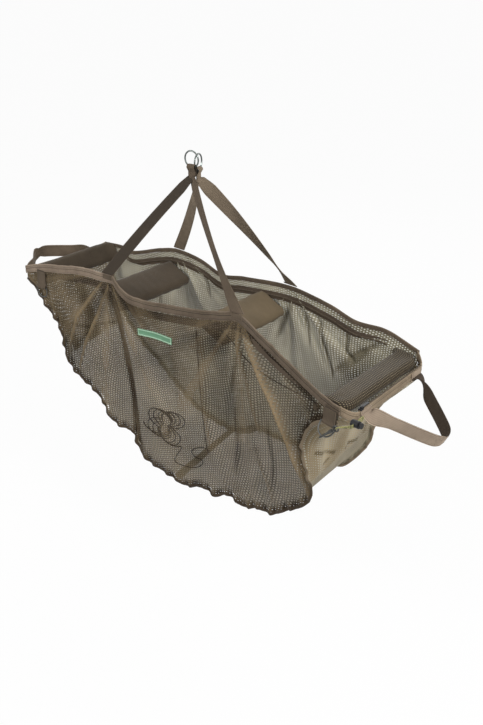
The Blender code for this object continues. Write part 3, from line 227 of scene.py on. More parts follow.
def even(start, stop, steps):
    """Numbers from start to stop in equal steps."""
    return [start + (stop - start) * i / steps for i in range(steps + 1)]


def sampled(points, steps, start=0.0, stop=1.0):
    """Points of the smooth curve in equal steps between two shares of it."""
    return [spline(points, t) for t in even(start, stop, steps)]


def smoothstep(value):
    """0 up to 0, 1 from 1 on and a soft rise between; a number or an array."""
    held = np.clip(value, 0, 1)
    return held * held * (3 - 2 * held)


def runs(points):
    """How far along their line each of the points lies."""
    found = [0.0]
    for a, b in zip(points, points[1:]):
        found.append(found[-1] + (b - a).length)
    return found


def even_points(line, count):
    """Points at equal steps along a line of short straight pieces."""
    lengths = runs(line)
    found = []
    at = 0
    for i in range(count):
        want = lengths[-1] * i / (count - 1)
        while at < len(line) - 2 and lengths[at + 1] < want:
            at += 1
        share = (want - lengths[at]) / max(lengths[at + 1] - lengths[at], 1e-12)
        found.append(line[at].lerp(line[at + 1], min(share, 1.0)))
    return found


def resample(points, count):
    """Points at equal steps along the smooth curve through the given ones."""
    return even_points(sampled(points, CURVE_STEPS * len(points)), count)


def corner(side, end):
    """A corner of the mouth; side is -1 in front and 1 behind, end is -1 at the left and 1 at the right."""
    tilt = FRONT_END_TILT if side < 0 else BACK_END_TILT
    y = side * (CORNER_HALF_WIDTH + end * END_SPLAY)
    return Vector((end * HALF_LENGTH, y, -CORNER_DROP - end * tilt))


def strap_point(side, end):
    """Where a strap meets the rim."""
    if side > 0:
        return Vector((end * BACK_HALF_SPAN, STRAP_HALF_WIDTH, -STRAP_DROP))
    y = end * FRONT_SKEW - STRAP_HALF_WIDTH
    return Vector((end * FRONT_HALF_SPAN + FRONT_SHIFT, y, end * FRONT_TILT + FRONT_RISE - STRAP_DROP))


def rim_line(side):
    """The points of a rim's top edge, from the left corner to the right one."""
    posts = [corner(side, -1), strap_point(side, -1), strap_point(side, 1), corner(side, 1)]
    points = [posts[0]]
    sags = FRONT_RIM if side < 0 else BACK_RIM
    for start, stop, deepest, dips in zip(posts, posts[1:], (FLANK_SAG, RIM_DIP, FLANK_SAG), sags):
        points += [start.lerp(stop, at) - Vector((0, 0, deepest * deep)) for at, deep in dips]
        points.append(stop)
    return points


RIM_LINES = {side: sampled(rim_line(side), RIM_LINE_STEPS) for side in (-1, 1)}
RIM_XS = {side: [p.x for p in line] for side, line in RIM_LINES.items()}


def rim(side, x):
    """The rim's top edge at x."""
    line, xs = RIM_LINES[side], RIM_XS[side]
    i = min(max(bisect.bisect_left(xs, x), 1), len(xs) - 1)
    share = (x - xs[i - 1]) / (xs[i] - xs[i - 1])
    return line[i - 1].lerp(line[i], min(max(share, 0.0), 1.0))


def band_height(side):
    return FRONT_BAND_HEIGHT if side < 0 else BACK_BAND_HEIGHT


def wall(side, x, z, out=0.0):
    """The middle of a wall's cloth at x and z, moved out by a distance."""
    edge = rim(side, x)
    return Vector((x, edge.y + side * (WALL_SPREAD * (edge.z - z) + out), z))


def seam_line(sections):
    """The lower seam at equal steps within each of its three sections."""
    low = FRONT_BAND_HEIGHT + SEAM_START_DROP
    ends = [Vector((end * RIM_END, 0, corner(-1, end).z - low)) for end in (-1, 1)]
    marks = [mark for section in sections for mark in section]
    points = [ends[0], *[Vector((x * HALF_LENGTH, 0, -drop * BAG_DROP)) for x, drop in marks], ends[1]]
    folds = [0, len(sections[0]), len(sections[0]) + len(sections[1]), len(points) - 1]
    found = [points[0]]
    for start, stop, steps in zip(folds, folds[1:], SEAM_SECTIONS):
        line = sampled(points, SEAM_LINE_STEPS, start / folds[-1], stop / folds[-1])
        found += even_points(line, steps + 1)[1:]
    return found


def outward(line, step):
    """The direction out of the bag, square to a seam line."""
    along = line[min(step + 1, len(line) - 1)] - line[max(step - 1, 0)]
    return Vector((along.z, 0, -along.x)).normalized()


def eased(line):
    """The same line with its puckers evened out."""
    found = []
    for step in range(len(line)):
        reach = min(SEAM_EASE, step, len(line) - 1 - step)
        near = line[step - reach : step + reach + 1]
        found.append(sum(near, Vector()) / len(near))
    return found


def base_line(line):
    """Where the base is sewn, a little inside a seam line."""
    return [point + outward(line, step) * -SEAM_ALLOWANCE for step, point in enumerate(line)]


SEAM = {-1: seam_line(FRONT_SEAM), 1: seam_line(BACK_SEAM)}
SEAM_STEPS = len(SEAM[1])
BASE_EDGE = {side: base_line(line) for side, line in SEAM.items()}
BASE_MIDDLE = {side: base_line(eased(line)) for side, line in SEAM.items()}
LEFT_FOLD = SEAM_SECTIONS[0]
RIGHT_FOLD = SEAM_SECTIONS[0] + SEAM_SECTIONS[1]


def end_edge(end, v):
    """The top edge of the mouth's end; v runs from -1 at the front corner to 1 at the back one."""
    front, back = corner(-1, end), corner(1, end)
    inset = OFF_BAND + GAP
    front.y += inset
    back.y -= inset
    away = min(1.0, (1 - abs(v)) / (1 - STRAIGHT_END))
    shift = away * (2 - away)
    moved = Vector((end * (END_BULGE * shift - BAND_THICK / 2), 0, -END_SAG * shift))
    return front.lerp(back, (v + 1) / 2) + moved


def edge_share(v):
    """0 in the middle of the strip between the walls, rising to 1 at its sewn edges."""
    return max(0.0, (abs(v) - STRAIGHT_END) / (1 - STRAIGHT_END))


def gusset_point(step, v):
    """A point of the strip between the walls; v is -1 at the front wall and 1 at the back one."""
    ends = []
    for side in (-1, 1):
        spot = BASE_MIDDLE[side][step].lerp(BASE_EDGE[side][step], edge_share(v))
        ends.append(wall(side, spot.x, spot.z, -OFF_FABRIC))
    return ends[0].lerp(ends[1], (v + 1) / 2)


def end_bulge(end, step, v):
    """How far an end panel stands out below the mouth's end."""
    up = (step - RIGHT_FOLD) / SEAM_SECTIONS[2] if end > 0 else 1 - step / SEAM_SECTIONS[0]
    straight = end_edge(end, -1).lerp(end_edge(end, 1), (v + 1) / 2)
    return (end_edge(end, v) - straight) * float(smoothstep(up))


# The picture: the camera first, then the light and the ground

CAMERA_PLACE = (1.388, -1.379, 0.472)
CAMERA_AZIMUTH, CAMERA_ELEVATION, CAMERA_ROLL = 41.98, 28.36, -0.5
CAMERA_LENS = 39.72
SIGHT = 200
WHITE = (1, 1, 1, 1)
AMBIENT = 0.27
LIT_POINT = (0, 0, -0.55)
LAMPS = (  # name, place, size, power
    ("key", (2.9, -0.5, 1.3), 1.0, 85),
    ("fill", (-1.2, -2.6, 1.6), 1.2, 60),
    ("back", (-1.2, 2.8, 1.2), 1.6, 30),
)
FLOOR_Z = -1.25
FLOOR_HALF = 60
FLOOR_GREY = (0.8, 0.8, 0.8, 1)
FLOOR_GLOW = 0.96


def show(name, data):
    """A new object of the scene that holds this data."""
    made = bpy.data.objects.new(name, data)
    bpy.context.scene.collection.objects.link(made)
    return made


def add_node(tree, kind, inputs=None, **settings):
    """A new node with its settings, and its inputs by name or place, each a socket or a value."""
    node = tree.nodes.new("ShaderNode" + kind)
    for key, value in settings.items():
        setattr(node, key, value)
    for key, value in (inputs or {}).items():
        plug(tree, value, node.inputs[key])
    return node


def plug(tree, value, socket):
    """Links a socket, a Value or a number to a node's input."""
    value = getattr(value, "socket", value)
    if isinstance(value, bpy.types.NodeSocket):
        tree.links.new(value, socket)
    else:
        socket.default_value = value


def set_camera():
    azimuth, elevation = math.radians(CAMERA_AZIMUTH), math.radians(CAMERA_ELEVATION)
    level = math.cos(elevation)
    back = Vector((math.sin(azimuth) * level, -math.cos(azimuth) * level, math.sin(elevation)))
    right = Vector((math.cos(azimuth), math.sin(azimuth), 0))
    roll = Matrix.Rotation(math.radians(CAMERA_ROLL), 3, "Z")
    turned = Matrix((right, back.cross(right), back)).transposed() @ roll
    data = bpy.data.cameras.new("photo_camera")
    data.lens = CAMERA_LENS
    data.clip_end = SIGHT
    camera = show("photo_camera", data)
    camera.matrix_world = Matrix.Translation(CAMERA_PLACE) @ turned.to_4x4()
    bpy.context.scene.camera = camera


def seen_rays(tree):
    """1 for rays that should meet a white ground: from the camera, in a gloss or through glass."""
    path = add_node(tree, "LightPath")
    seen = path.outputs["Is Camera Ray"]
    for kind in ("Is Glossy Ray", "Is Transmission Ray"):
        seen = add_node(tree, "Math", {0: seen, 1: path.outputs[kind]}, operation="MAXIMUM").outputs[0]
    return seen


def mix_out(tree, share, lit, white, output):
    """Mixes two shaders by a share into the tree's output."""
    mixed = add_node(tree, "MixShader", {0: share, 1: lit.outputs[0], 2: white.outputs[0]})
    add_node(tree, output, {"Surface": mixed.outputs[0]})


def set_world():
    world = bpy.data.worlds.new("studio")
    bpy.context.scene.world = world
    world.use_nodes = True
    tree = world.node_tree
    tree.nodes.clear()
    soft = add_node(tree, "Background", {"Color": WHITE, "Strength": AMBIENT})
    white = add_node(tree, "Background", {"Color": WHITE, "Strength": 1.0})
    mix_out(tree, seen_rays(tree), soft, white, "OutputWorld")


def set_lamps():
    for name, place, size, power in LAMPS:
        data = bpy.data.lights.new(name, "AREA")
        data.shape = "DISK"
        data.size = size
        data.energy = power
        lamp = show(name, data)
        lamp.location = place
        lamp.rotation_euler = (Vector(LIT_POINT) - Vector(place)).to_track_quat("-Z", "Y").to_euler()


def set_floor():
    mesh = bpy.data.meshes.new("floor")
    spots = [(x * FLOOR_HALF, y * FLOOR_HALF, FLOOR_Z) for x, y in ((-1, -1), (1, -1), (1, 1), (-1, 1))]
    mesh.from_pydata(spots, [], [(0, 1, 2, 3)])
    floor = show("floor", mesh)
    ground = bpy.data.materials.new("pale_floor")
    ground.use_nodes = True
    tree = ground.node_tree
    tree.nodes.clear()
    plain = add_node(tree, "BsdfDiffuse", {"Color": FLOOR_GREY})
    white = add_node(tree, "Emission", {"Strength": 1.0})
    glow = add_node(tree, "Math", {0: seen_rays(tree), 1: FLOOR_GLOW}, operation="MULTIPLY")
    mix_out(tree, glow.outputs[0], plain, white, "OutputMaterial")
    mesh.materials.append(ground)


bpy.context.scene.view_settings.view_transform = "Standard"
set_camera()
set_world()
set_lamps()
set_floor()


# Materials. Every cloth piece carries a UV map in metres: u along the piece, v across it

CLOTH_GLOSS, NET_GLOSS, METAL_GLOSS = 0.15, 0.1, 0.5
HOLE_LENGTH = 1.25  # a mesh hole's length by its width
STITCH_PITCH, STITCH_HALF, STITCH_SLANT = 0.0034, 0.0005, 1.2
AFTER_START, AFTER_FULL = 0.36, 0.42  # along the front band, where its later colours begin
LABEL_BORDER, LABEL_BORDER_HALF = 0.0022, 0.0012


def colour(screen):
    """The linear form of a colour as a screen shows it, 0 to 255."""
    return tuple((c / 255 / 12.92 if c < 11 else ((c / 255 + 0.055) / 1.055) ** 2.4) for c in screen)


class Value:
    """A node's output, with the arithmetic that puts math nodes after it."""

    def __init__(self, tree, socket):
        self.tree = tree
        self.socket = socket

    def math(self, operation, *others):
        node = add_node(self.tree, "Math", dict(enumerate((self, *others))), operation=operation)
        return Value(self.tree, node.outputs[0])

    def __add__(self, other):
        return self.math("ADD", other)

    def __mul__(self, other):
        return self.math("MULTIPLY", other)

    def __sub__(self, other):
        return self.math("SUBTRACT", other)

    def __rsub__(self, other):
        return self.math("MULTIPLY_ADD", -1.0, other)

    def __abs__(self):
        return self.math("ABSOLUTE")

    def held(self):
        """The same, kept from 0 to 1."""
        return self.math("MAXIMUM", 0.0).math("MINIMUM", 1.0)


class Shade:
    """A material, with short names for the nodes that make it."""

    def __init__(self, name, roughness=0.85, metallic=0.0, sheen=0.0):
        self.material = bpy.data.materials.new(name)
        self.material.use_nodes = True
        self.tree = self.material.node_tree
        self.shader = self.tree.nodes["Principled BSDF"]
        self.give("Roughness", roughness)
        self.give("Metallic", metallic)
        self.give("Sheen Weight", sheen)
        self.give("Specular IOR Level", METAL_GLOSS if metallic else CLOTH_GLOSS)
        place = add_node(self.tree, "UVMap", uv_map="cloth")
        parts = add_node(self.tree, "SeparateXYZ", {0: place.outputs[0]})
        self.u, self.v = Value(self.tree, parts.outputs[0]), Value(self.tree, parts.outputs[1])

    def give(self, name, value):
        plug(self.tree, value, self.shader.inputs[name])

    def wave(self, value, period):
        """A cosine of that period, from -1 to 1."""
        return (value * (2 * math.pi / period)).math("COSINE")

    def step(self, value, start, end):
        """0 before start, 1 after end and a soft rise between."""
        inputs = {"Value": value, "From Min": start, "From Max": end}
        node = add_node(self.tree, "MapRange", inputs, interpolation_type="SMOOTHSTEP")
        return Value(self.tree, node.outputs["Result"])

    def line(self, value, middle, half):
        """1 on a line of that half width, 0 off it."""
        return 1.0 - self.step(abs(value - middle), half * 0.6, half * 1.4)

    def noise(self, scale, detail, stretch=None):
        source = add_node(self.tree, "TexCoord").outputs["Object"]
        if stretch:
            source = add_node(self.tree, "Mapping", {"Scale": stretch, "Vector": source}).outputs[0]
        node = add_node(self.tree, "TexNoise", {"Scale": scale, "Detail": detail, "Vector": source})
        return Value(self.tree, node.outputs["Fac"])

    def attribute(self, name):
        return Value(self.tree, add_node(self.tree, "Attribute", attribute_name=name).outputs["Fac"])

    def mix(self, share, first, second):
        """Two colours mixed by share, each a node's or a linear one."""
        first, second = (c if isinstance(c, Value) else (*c, 1) for c in (first, second))
        node = add_node(self.tree, "Mix", {"Factor": share, 6: first, 7: second}, data_type="RGBA")
        return Value(self.tree, node.outputs[2])

    def bump(self, height, strength, distance):
        node = add_node(self.tree, "Bump", {"Strength": strength, "Distance": distance, "Height": height})
        self.give("Normal", node.outputs[0])

    def paint(self, value):
        self.give("Base Color", value)
        return self.material


def weave(s, thread):
    """The height of a plain weave with that thread spacing."""
    return s.wave(s.u, thread) * s.wave(s.v, thread) * 0.5 + 0.5


def stitches(s, middle):
    """Dashes of thread along the piece at a distance across it."""
    dash = s.step(s.wave(s.v * STITCH_SLANT + s.u, STITCH_PITCH), -0.35, 0.0)
    return s.line(s.v, middle, STITCH_HALF) * dash


def netting(name, dark, light, hole_light, pitch, open_at, see=0.5, hole_light_share=0.9, veil=0.0):
    """Knitted mesh: a hexagonal lattice of holes, closed where the cloth lies double, thinned by veil, with
    painted light and shade.
    """
    s = Shade(name)
    s.give("Specular IOR Level", NET_GLOSS)
    period = pitch * math.sqrt(3) / 2
    along, up = s.u * (1 / HOLE_LENGTH), s.v * (math.sqrt(3) / 2)
    peaks = s.wave(along, period) + s.wave(along * 0.5 + up, period) + s.wave(along * 0.5 - up, period)
    pleat, painted_light = s.attribute("pleat"), s.attribute("painted_light")
    limit = pleat * 2.2 + open_at + (s.noise(26.0, 3.0) * 0.9 - 0.45)
    hole = s.step(peaks - limit, -0.15, 0.25)
    s.give("Alpha", 1.0 - (hole * (see - veil) + (1.0 - pleat) * veil))
    clouds = s.noise(7.0, 4.0) * 1.3 - 0.35
    # Painted light and shade: lighter on the fold ridges, darker in the valleys and where the cloth lies
    # double.
    tone = clouds + painted_light * 1.3 - pleat * 0.20 - peaks * 0.05
    s.bump(peaks * -0.33, 0.6, 0.0014)
    threads = s.mix(tone.held(), colour(dark), colour(light))
    # The holes are partly painted a pale colour: painted light standing in for what shows through them.
    return s.paint(s.mix(hole * hole_light_share, threads, colour(hole_light)))


def plain_cloth(name, dark, light, thread=0.0009, sheen=0.03, creased=1.2, end=None):
    """A finely woven cloth with faint clouding; end has the colours for where the mark inner is 1."""
    s = Shade(name, roughness=0.8, sheen=sheen)
    threads = weave(s, thread)
    tone = s.noise(14.0, 4.0) * 0.75 + threads * 0.25
    s.bump(s.noise(30.0, 3.0, stretch=(1.0, 1.0, 0.4)) * creased + threads, 0.35, 0.0006)
    painted = s.mix(tone, colour(dark), colour(light))
    if end:
        painted = s.mix(s.attribute("inner"), painted, s.mix(tone, *map(colour, end)))
    return s.paint(painted)


def ribbed_webbing(name, dark, light, half_width, shade_colour=None):
    """Flat webbing: slanting ribs and a firm selvage, with painted shade on its marked face and in its
    groove, deepened to a shade colour if given.
    """
    s = Shade(name, roughness=0.8, sheen=0.04)
    edge, inner = abs(s.v), s.attribute("inner")
    ribs, columns = s.wave(s.v * 0.55 + s.u, 0.0022), s.wave(s.v, 0.0045)
    selvage = s.step(edge, half_width - 0.0024, half_width - 0.0016)
    groove = s.line(edge, half_width - 0.0026, 0.0004)
    height = columns * 0.2 + 0.5 + ribs * 0.35 + selvage * 0.4 - groove * 0.8
    s.bump(height, 0.6, 0.0006)
    # Painted light and shade: darker on the marked face and in the groove, lighter on the tops of the ribs.
    tone = s.noise(22.0, 4.0) * 0.8 + height * 0.25 + selvage * 0.18 - groove * 0.5 - 0.1 - inner * 0.55
    painted = s.mix(tone.held(), colour(dark), colour(light))
    # Painted shade: the marked face goes most of the way to the shade colour.
    if shade_colour:
        painted = s.mix(inner * 0.85, painted, colour(shade_colour))
    return s.paint(painted)


def band_cloth(name, dark, light, after=None):
    """A folded binding with a stitched upper edge, painted shade in its crease, a stitched foot and a
    lighter top edge.
    """
    s = Shade(name, sheen=0.03)
    threads = weave(s, 0.0012)
    crease = s.line(s.v, FRONT_BAND_HEIGHT * 0.42, 0.0007)
    seams = stitches(s, FRONT_BAND_HEIGHT * 0.20).math("MAXIMUM", stitches(s, FRONT_BAND_HEIGHT * 0.84))
    tone = s.noise(18.0, 4.0) * 0.8 + threads * 0.2 + (1.0 - s.step(s.v, 0.0004, 0.0024)) * 0.25
    # Painted shade in the crease; the stitches darker.
    tone = (tone - crease * 0.7 - seams * 0.55).held()
    creases = s.noise(70.0, 3.0, stretch=(1.0, 1.0, 0.5))
    puckers = s.wave(s.noise(30.0, 2.0) * 0.02 + s.v * 0.3 + s.u, 0.0105)
    s.bump(threads - crease * 1.2 + seams * 0.8 + creases * 2.2 + puckers * 0.9, 0.6, 0.0009)
    painted = s.mix(tone, colour(dark), colour(light))
    if after:
        painted = s.mix(s.step(s.u, AFTER_START, AFTER_FULL), painted, s.mix(tone, *map(colour, after)))
    return s.paint(painted)


def coil_finish(name, dark, light):
    """The turns of a nylon coil, with painted light and shade on them."""
    s = Shade(name, roughness=0.45)
    turn = s.wave(s.v * 0.35 + s.u, 0.0016)
    s.bump(turn, 0.8, 0.0006)
    # Painted light and shade: lighter on the tops of the turns, darker between them.
    return s.paint(s.mix(turn * 0.4 + 0.5, colour(dark), colour(light)))


def dotted_cloth(name, dark, light, dot, pitch):
    """A ripstop cover with a fine grid of pale dots."""
    s = Shade(name, roughness=0.6, sheen=0.1)
    dots = s.step(s.wave(s.u, pitch).math("MINIMUM", s.wave(s.v, pitch)), 0.15, 0.55)
    s.bump(s.noise(30.0, 2.0) * 1.5 + dots, 0.4, 0.0006)
    base = s.mix(s.noise(14.0, 4.0), colour(dark), colour(light))
    return s.paint(s.mix(dots * 0.75, base, colour(dot)))


def label_finish(name, dark, light, pale):
    """A plain woven tag with a stitched pale border."""
    s = Shade(name, roughness=0.7)
    from_side = s.u.math("MINIMUM", LABEL[1] - LABEL[0] - s.u)
    from_edge = s.v.math("MINIMUM", LABEL_HEIGHT - s.v)
    border = s.line(from_side.math("MINIMUM", from_edge), LABEL_BORDER, LABEL_BORDER_HALF)
    dash = s.step(s.wave(s.u + s.v, 0.003), -0.8, -0.4)
    threads = weave(s, 0.0008)
    base = s.mix(s.noise(40.0, 3.0) * 0.6 + threads * 0.35, colour(dark), colour(light))
    s.bump(border + threads, 0.4, 0.0005)
    return s.paint(s.mix(border * dash, base, colour(pale)))


def metal(name, grey, roughness, wear):
    """Plated steel with fine scratches, brighter by wear."""
    s = Shade(name, metallic=1.0)
    scratches = s.noise(220.0, 3.0, stretch=(1.0, 1.0, 0.15))
    s.give("Roughness", s.noise(90.0, 3.0) * 0.2 + (roughness - 0.1))
    s.bump(scratches, 0.12, 0.0003)
    return s.paint(s.mix(scratches, grey, [min(1.0, c * wear) for c in grey]))


def moulded(name, grey):
    """Black plastic with a faint grain."""
    s = Shade(name, roughness=0.4)
    s.bump(s.noise(700.0, 2.0), 0.2, 0.0002)
    return s.paint(s.mix(s.noise(60.0, 3.0), grey, [c * 1.7 + 0.004 for c in grey]))


def braided(name, dark, light):
    """Braided cord with flecks of a second colour."""
    s = Shade(name, roughness=0.7, sheen=0.2)
    s.bump(s.noise(900.0, 2.0), 0.5, 0.0004)
    return s.paint(s.mix(s.step(s.noise(520.0, 1.0), 0.42, 0.58), colour(dark), colour(light)))


# One mesh cloth in lit and shaded copies: the back and base nets are painted paler as painted light, the
# left end net darker as painted shade.
FRONT_NET = netting(
    "front_netting", (46, 37, 27), (138, 120, 93), (176, 170, 148), 0.0068, 0.12, 0.90, hole_light_share=0.5, veil=0.30
)
BACK_NET = netting("back_netting", (122, 115, 96), (194, 187, 162), (214, 210, 190), 0.0062, 0.95, 0.26)
BASE_NET = netting("base_netting", (102, 93, 76), (182, 170, 144), (214, 208, 188), 0.0066, 0.7)
END_NET = netting("end_netting", (96, 84, 64), (174, 158, 128), (216, 213, 196), 0.0066, 0.20)
SHADED_LEFT_END_NET = netting("shaded_left_end_netting", (92, 82, 64), (152, 137, 111), (178, 170, 148), 0.0066, 0.9, 0.3)
FRONT_BAND = band_cloth(
    "front_band_cloth", (92, 78, 66), (176, 158, 138), after=((58, 49, 40), (138, 122, 104))
)
END_BAND = band_cloth("end_band_cloth", (104, 90, 72), (172, 154, 130))
BACK_BAND = ribbed_webbing("back_band_webbing", (58, 50, 42), (128, 112, 94), BACK_BAND_HEIGHT)
# One webbing in lit and shaded copies: the handle webbing is paler as painted light, the strap webbing
# darker as painted shade.
STRAP_WEBBING = ribbed_webbing("strap_webbing", (60, 52, 43), (128, 112, 94), STRAP_WIDTH / 2)
BACK_STRAP_WEBBING = ribbed_webbing("back_strap_webbing", (84, 74, 62), (158, 141, 120), STRAP_WIDTH / 2)
HANDLE_WEBBING = ribbed_webbing(
    "handle_webbing", (104, 91, 78), (188, 169, 148), HANDLE_WIDTH / 2, shade_colour=(58, 49, 40)
)
TAB_WEBBING = ribbed_webbing("tab_webbing", (60, 52, 43), (112, 98, 82), TAB_WIDTH / 2)
SEAM_CLOTH = plain_cloth("seam_binding", (38, 31, 24), (84, 71, 56), end=((96, 84, 68), (146, 131, 110)))
TAPE_CLOTH = plain_cloth("zip_tape_cloth", (58, 50, 42), (104, 90, 76), thread=0.0008)
COIL = coil_finish("zip_coil_nylon", (40, 34, 28), (130, 116, 98))
DOTTED = dotted_cloth("dotted_float_cover", (32, 26, 19), (62, 53, 41), (146, 132, 104), 0.0054)
PLAIN_COVER = plain_cloth("plain_float_cover", (54, 46, 37), (92, 81, 67), 0.0014, sheen=0.1, creased=4.0)
PALE_COVER = plain_cloth("pale_float_cover", (76, 66, 51), (122, 107, 84), 0.0020, sheen=0.05, creased=4.0)
ANCHOR_CLOTH = plain_cloth("anchor_cloth", (50, 43, 34), (88, 76, 60))
LABEL_CLOTH = label_finish("label_cloth", (84, 126, 98), (126, 170, 138), (190, 218, 192))
BRIGHT_STEEL = metal("polished_steel", (0.085, 0.095, 0.089), 0.36, 2.0)
RING_STEEL = metal("d_ring_steel", (0.055, 0.055, 0.052), 0.36, 2.0)
GUNMETAL = metal("dark_plated_steel", (0.045, 0.045, 0.042), 0.38, 2.2)
PLASTIC = moulded("black_lock_plastic", (0.014, 0.014, 0.015))
CORD_FIBRE = braided("dark_cord", (20, 16, 11), (44, 36, 27))
CAMO_FIBRE = braided("camo_cord", (70, 72, 44), (156, 152, 100))


# Building pieces

SHARP_ANGLE = 50
STRIP_POINTS = 9
STRIP_THINNING = 0.55
WOBBLE = ((1, 37, 0, 1), (0.7, 71, 0, 2.3), (0.5, 149, 0, 4.1), (0.3, 263, 0, 1.7))  # as waves() has them
WOBBLE_SIZE = 1.6


def surface(name, grid, uvs, finish, marks=None, closed=False):
    """A mesh over rows of points with their places in the cloth; closed rows are rings, and are capped."""
    rows, columns = len(grid), len(grid[0])
    faces, corners = [], []
    for i in range(rows - 1):
        for j in range(columns if closed else columns - 1):
            k = (j + 1) % columns
            faces.append((i * columns + j, i * columns + k, (i + 1) * columns + k, (i + 1) * columns + j))
            corners += [uvs[i][j], uvs[i][j + 1], uvs[i + 1][j + 1], uvs[i + 1][j]]
    if closed:
        for i in (0, rows - 1):
            faces.append(tuple(i * columns + j for j in range(columns)))
            corners += uvs[i][:columns]
    mesh = bpy.data.meshes.new(name)
    mesh.from_pydata([tuple(p) for row in grid for p in row], [], faces)
    layer = mesh.uv_layers.new(name="cloth")
    layer.data.foreach_set("uv", np.array(corners, np.float32).ravel())
    for mark, values in (marks or {}).items():
        held = mesh.attributes.new(mark, "FLOAT", "POINT")
        held.data.foreach_set("value", np.asarray(values, np.float32).ravel())
    mesh.materials.append(finish)
    mesh.shade_smooth()
    if closed:
        mesh.set_sharp_from_angle(angle=math.radians(SHARP_ANGLE))
    made = show(name, mesh)
    turned = bmesh.new()
    turned.from_mesh(mesh)
    bmesh.ops.recalc_face_normals(turned, faces=turned.faces[:])
    turned.to_mesh(mesh)
    turned.free()
    return made


def swept(name, rows, finish, marks=None):
    """A closed piece over rows of (point, place in the cloth) pairs."""
    grid = [[point for point, _ in row] for row in rows]
    uvs = [[place for _, place in [*row, row[0]]] for row in rows]
    return surface(name, grid, uvs, finish, marks, closed=True)


def stand_for(piece, body, slot, *nodes):
    """The piece takes the place of these solids on their body."""
    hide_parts(*nodes)
    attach(piece, body)


def waves(table, x, y, turn):
    """Sine waves over numbers or arrays, from rows of a height and the rates of x, of y and of the turn."""
    return sum(height * np.sin(x * a + y * b + turn * c) for height, a, b, c in table)


def wobble(x, seed):
    """A soft irregular wave of height about 1."""
    return waves(WOBBLE, x, 0, seed) / WOBBLE_SIZE


def rounded_strip(half_width, half_thick):
    """The outline of flat webbing, as (across, out) pairs."""
    found = []
    for sign in (1, -1):
        for f in even(-1, 1, STRIP_POINTS - 1):
            thin = 1 - abs(f) ** 8 * STRIP_THINNING
            found.append((sign * f * half_width, sign * half_thick * thin))
    return found


def ribbon(name, stations, thickness, finish, shaded_side=1, shaded_beyond=None):
    """Webbing through (point, across, width) stations, with painted shade marked on its inner face, or on
    all of it beyond a y.
    """
    rows, inner = [], []
    points = [point for point, _, _ in stations]
    for i, ((point, across, width), run) in enumerate(zip(stations, runs(points))):
        along = points[min(i + 1, len(points) - 1)] - points[max(i - 1, 0)]
        out = along.cross(across).normalized()
        outline = rounded_strip(width / 2, thickness / 2)
        rows.append([(point + across * a + out * o, (run, a)) for a, o in outline])
        # Painted shade marks the face turned from the light, and all of the webbing past the y.
        shaded = shaded_beyond is not None and point.y > shaded_beyond
        inner += [float(shaded or o * shaded_side < 0) for _, o in outline]
    return swept(name, rows, finish, {"inner": inner})


# The walls of the bag

FRONT_FOLDS = (  # line of x, z on the wall; half width; height out; how double; how much light is painted on it, shade where negative
    (((-0.207, -0.366), (-0.246, -0.445), (-0.307, -0.555), (-0.372, -0.700)), 0.0052, 0.009, 0.9, 0.60),
    (((-0.235, -0.366), (-0.336, -0.486), (-0.412, -0.640)), 0.0048, 0.007, 0.8, 0.52),
    (((-0.196, -0.366), (-0.151, -0.537), (-0.129, -0.686), (-0.116, -0.880)), 0.013, -0.004, 1.2, 0.04),
    (((-0.175, -0.369), (-0.091, -0.425), (-0.039, -0.488)), 0.016, 0.006, 0.55, 0.05),
    (((0.244, -0.350), (0.327, -0.447), (0.412, -0.556), (0.499, -0.682)), 0.010, 0.016, 0.75, 0.55),
    (((0.231, -0.366), (0.285, -0.506), (0.335, -0.622)), 0.010, 0.008, 0.45, 0.20),
    (((0.256, -0.350), (0.419, -0.421), (0.531, -0.443)), 0.014, -0.006, 0.55, -0.20),
    (((0.118, -0.380), (0.134, -0.592), (0.169, -0.793)), 0.012, 0.007, 0.30, 0.10),
    (((0.010, -0.395), (0.030, -0.520), (0.060, -0.700)), 0.016, 0.006, 0.20, 0.05),
    (((0.470, -0.440), (0.520, -0.490), (0.500, -0.560)), 0.026, -0.004, 0.50, -0.25),
    (((0.215, -0.400), (0.130, -0.440), (0.060, -0.430)), 0.034, 0.003, 0.45, -0.07),
    (((-0.150, -0.390), (-0.080, -0.410), (0.000, -0.430)), 0.022, 0.004, 0.40, 0.02),
    (((-0.470, -0.450), (-0.400, -0.420), (-0.320, -0.400)), 0.030, 0.002, 0.35, 0.08),
    (((-0.540, -0.440), (-0.400, -0.460), (-0.290, -0.480)), 0.055, 0.001, 0.25, 0.22),
    (((0.350, -0.560), (0.380, -0.660), (0.385, -0.760)), 0.008, 0.005, 0.50, -0.20),
    (((0.230, -0.560), (0.250, -0.680), (0.240, -0.790)), 0.009, 0.005, 0.45, -0.20),
    (((0.300, -0.640), (0.360, -0.720), (0.400, -0.790)), 0.010, 0.007, 0.35, 0.15),
)
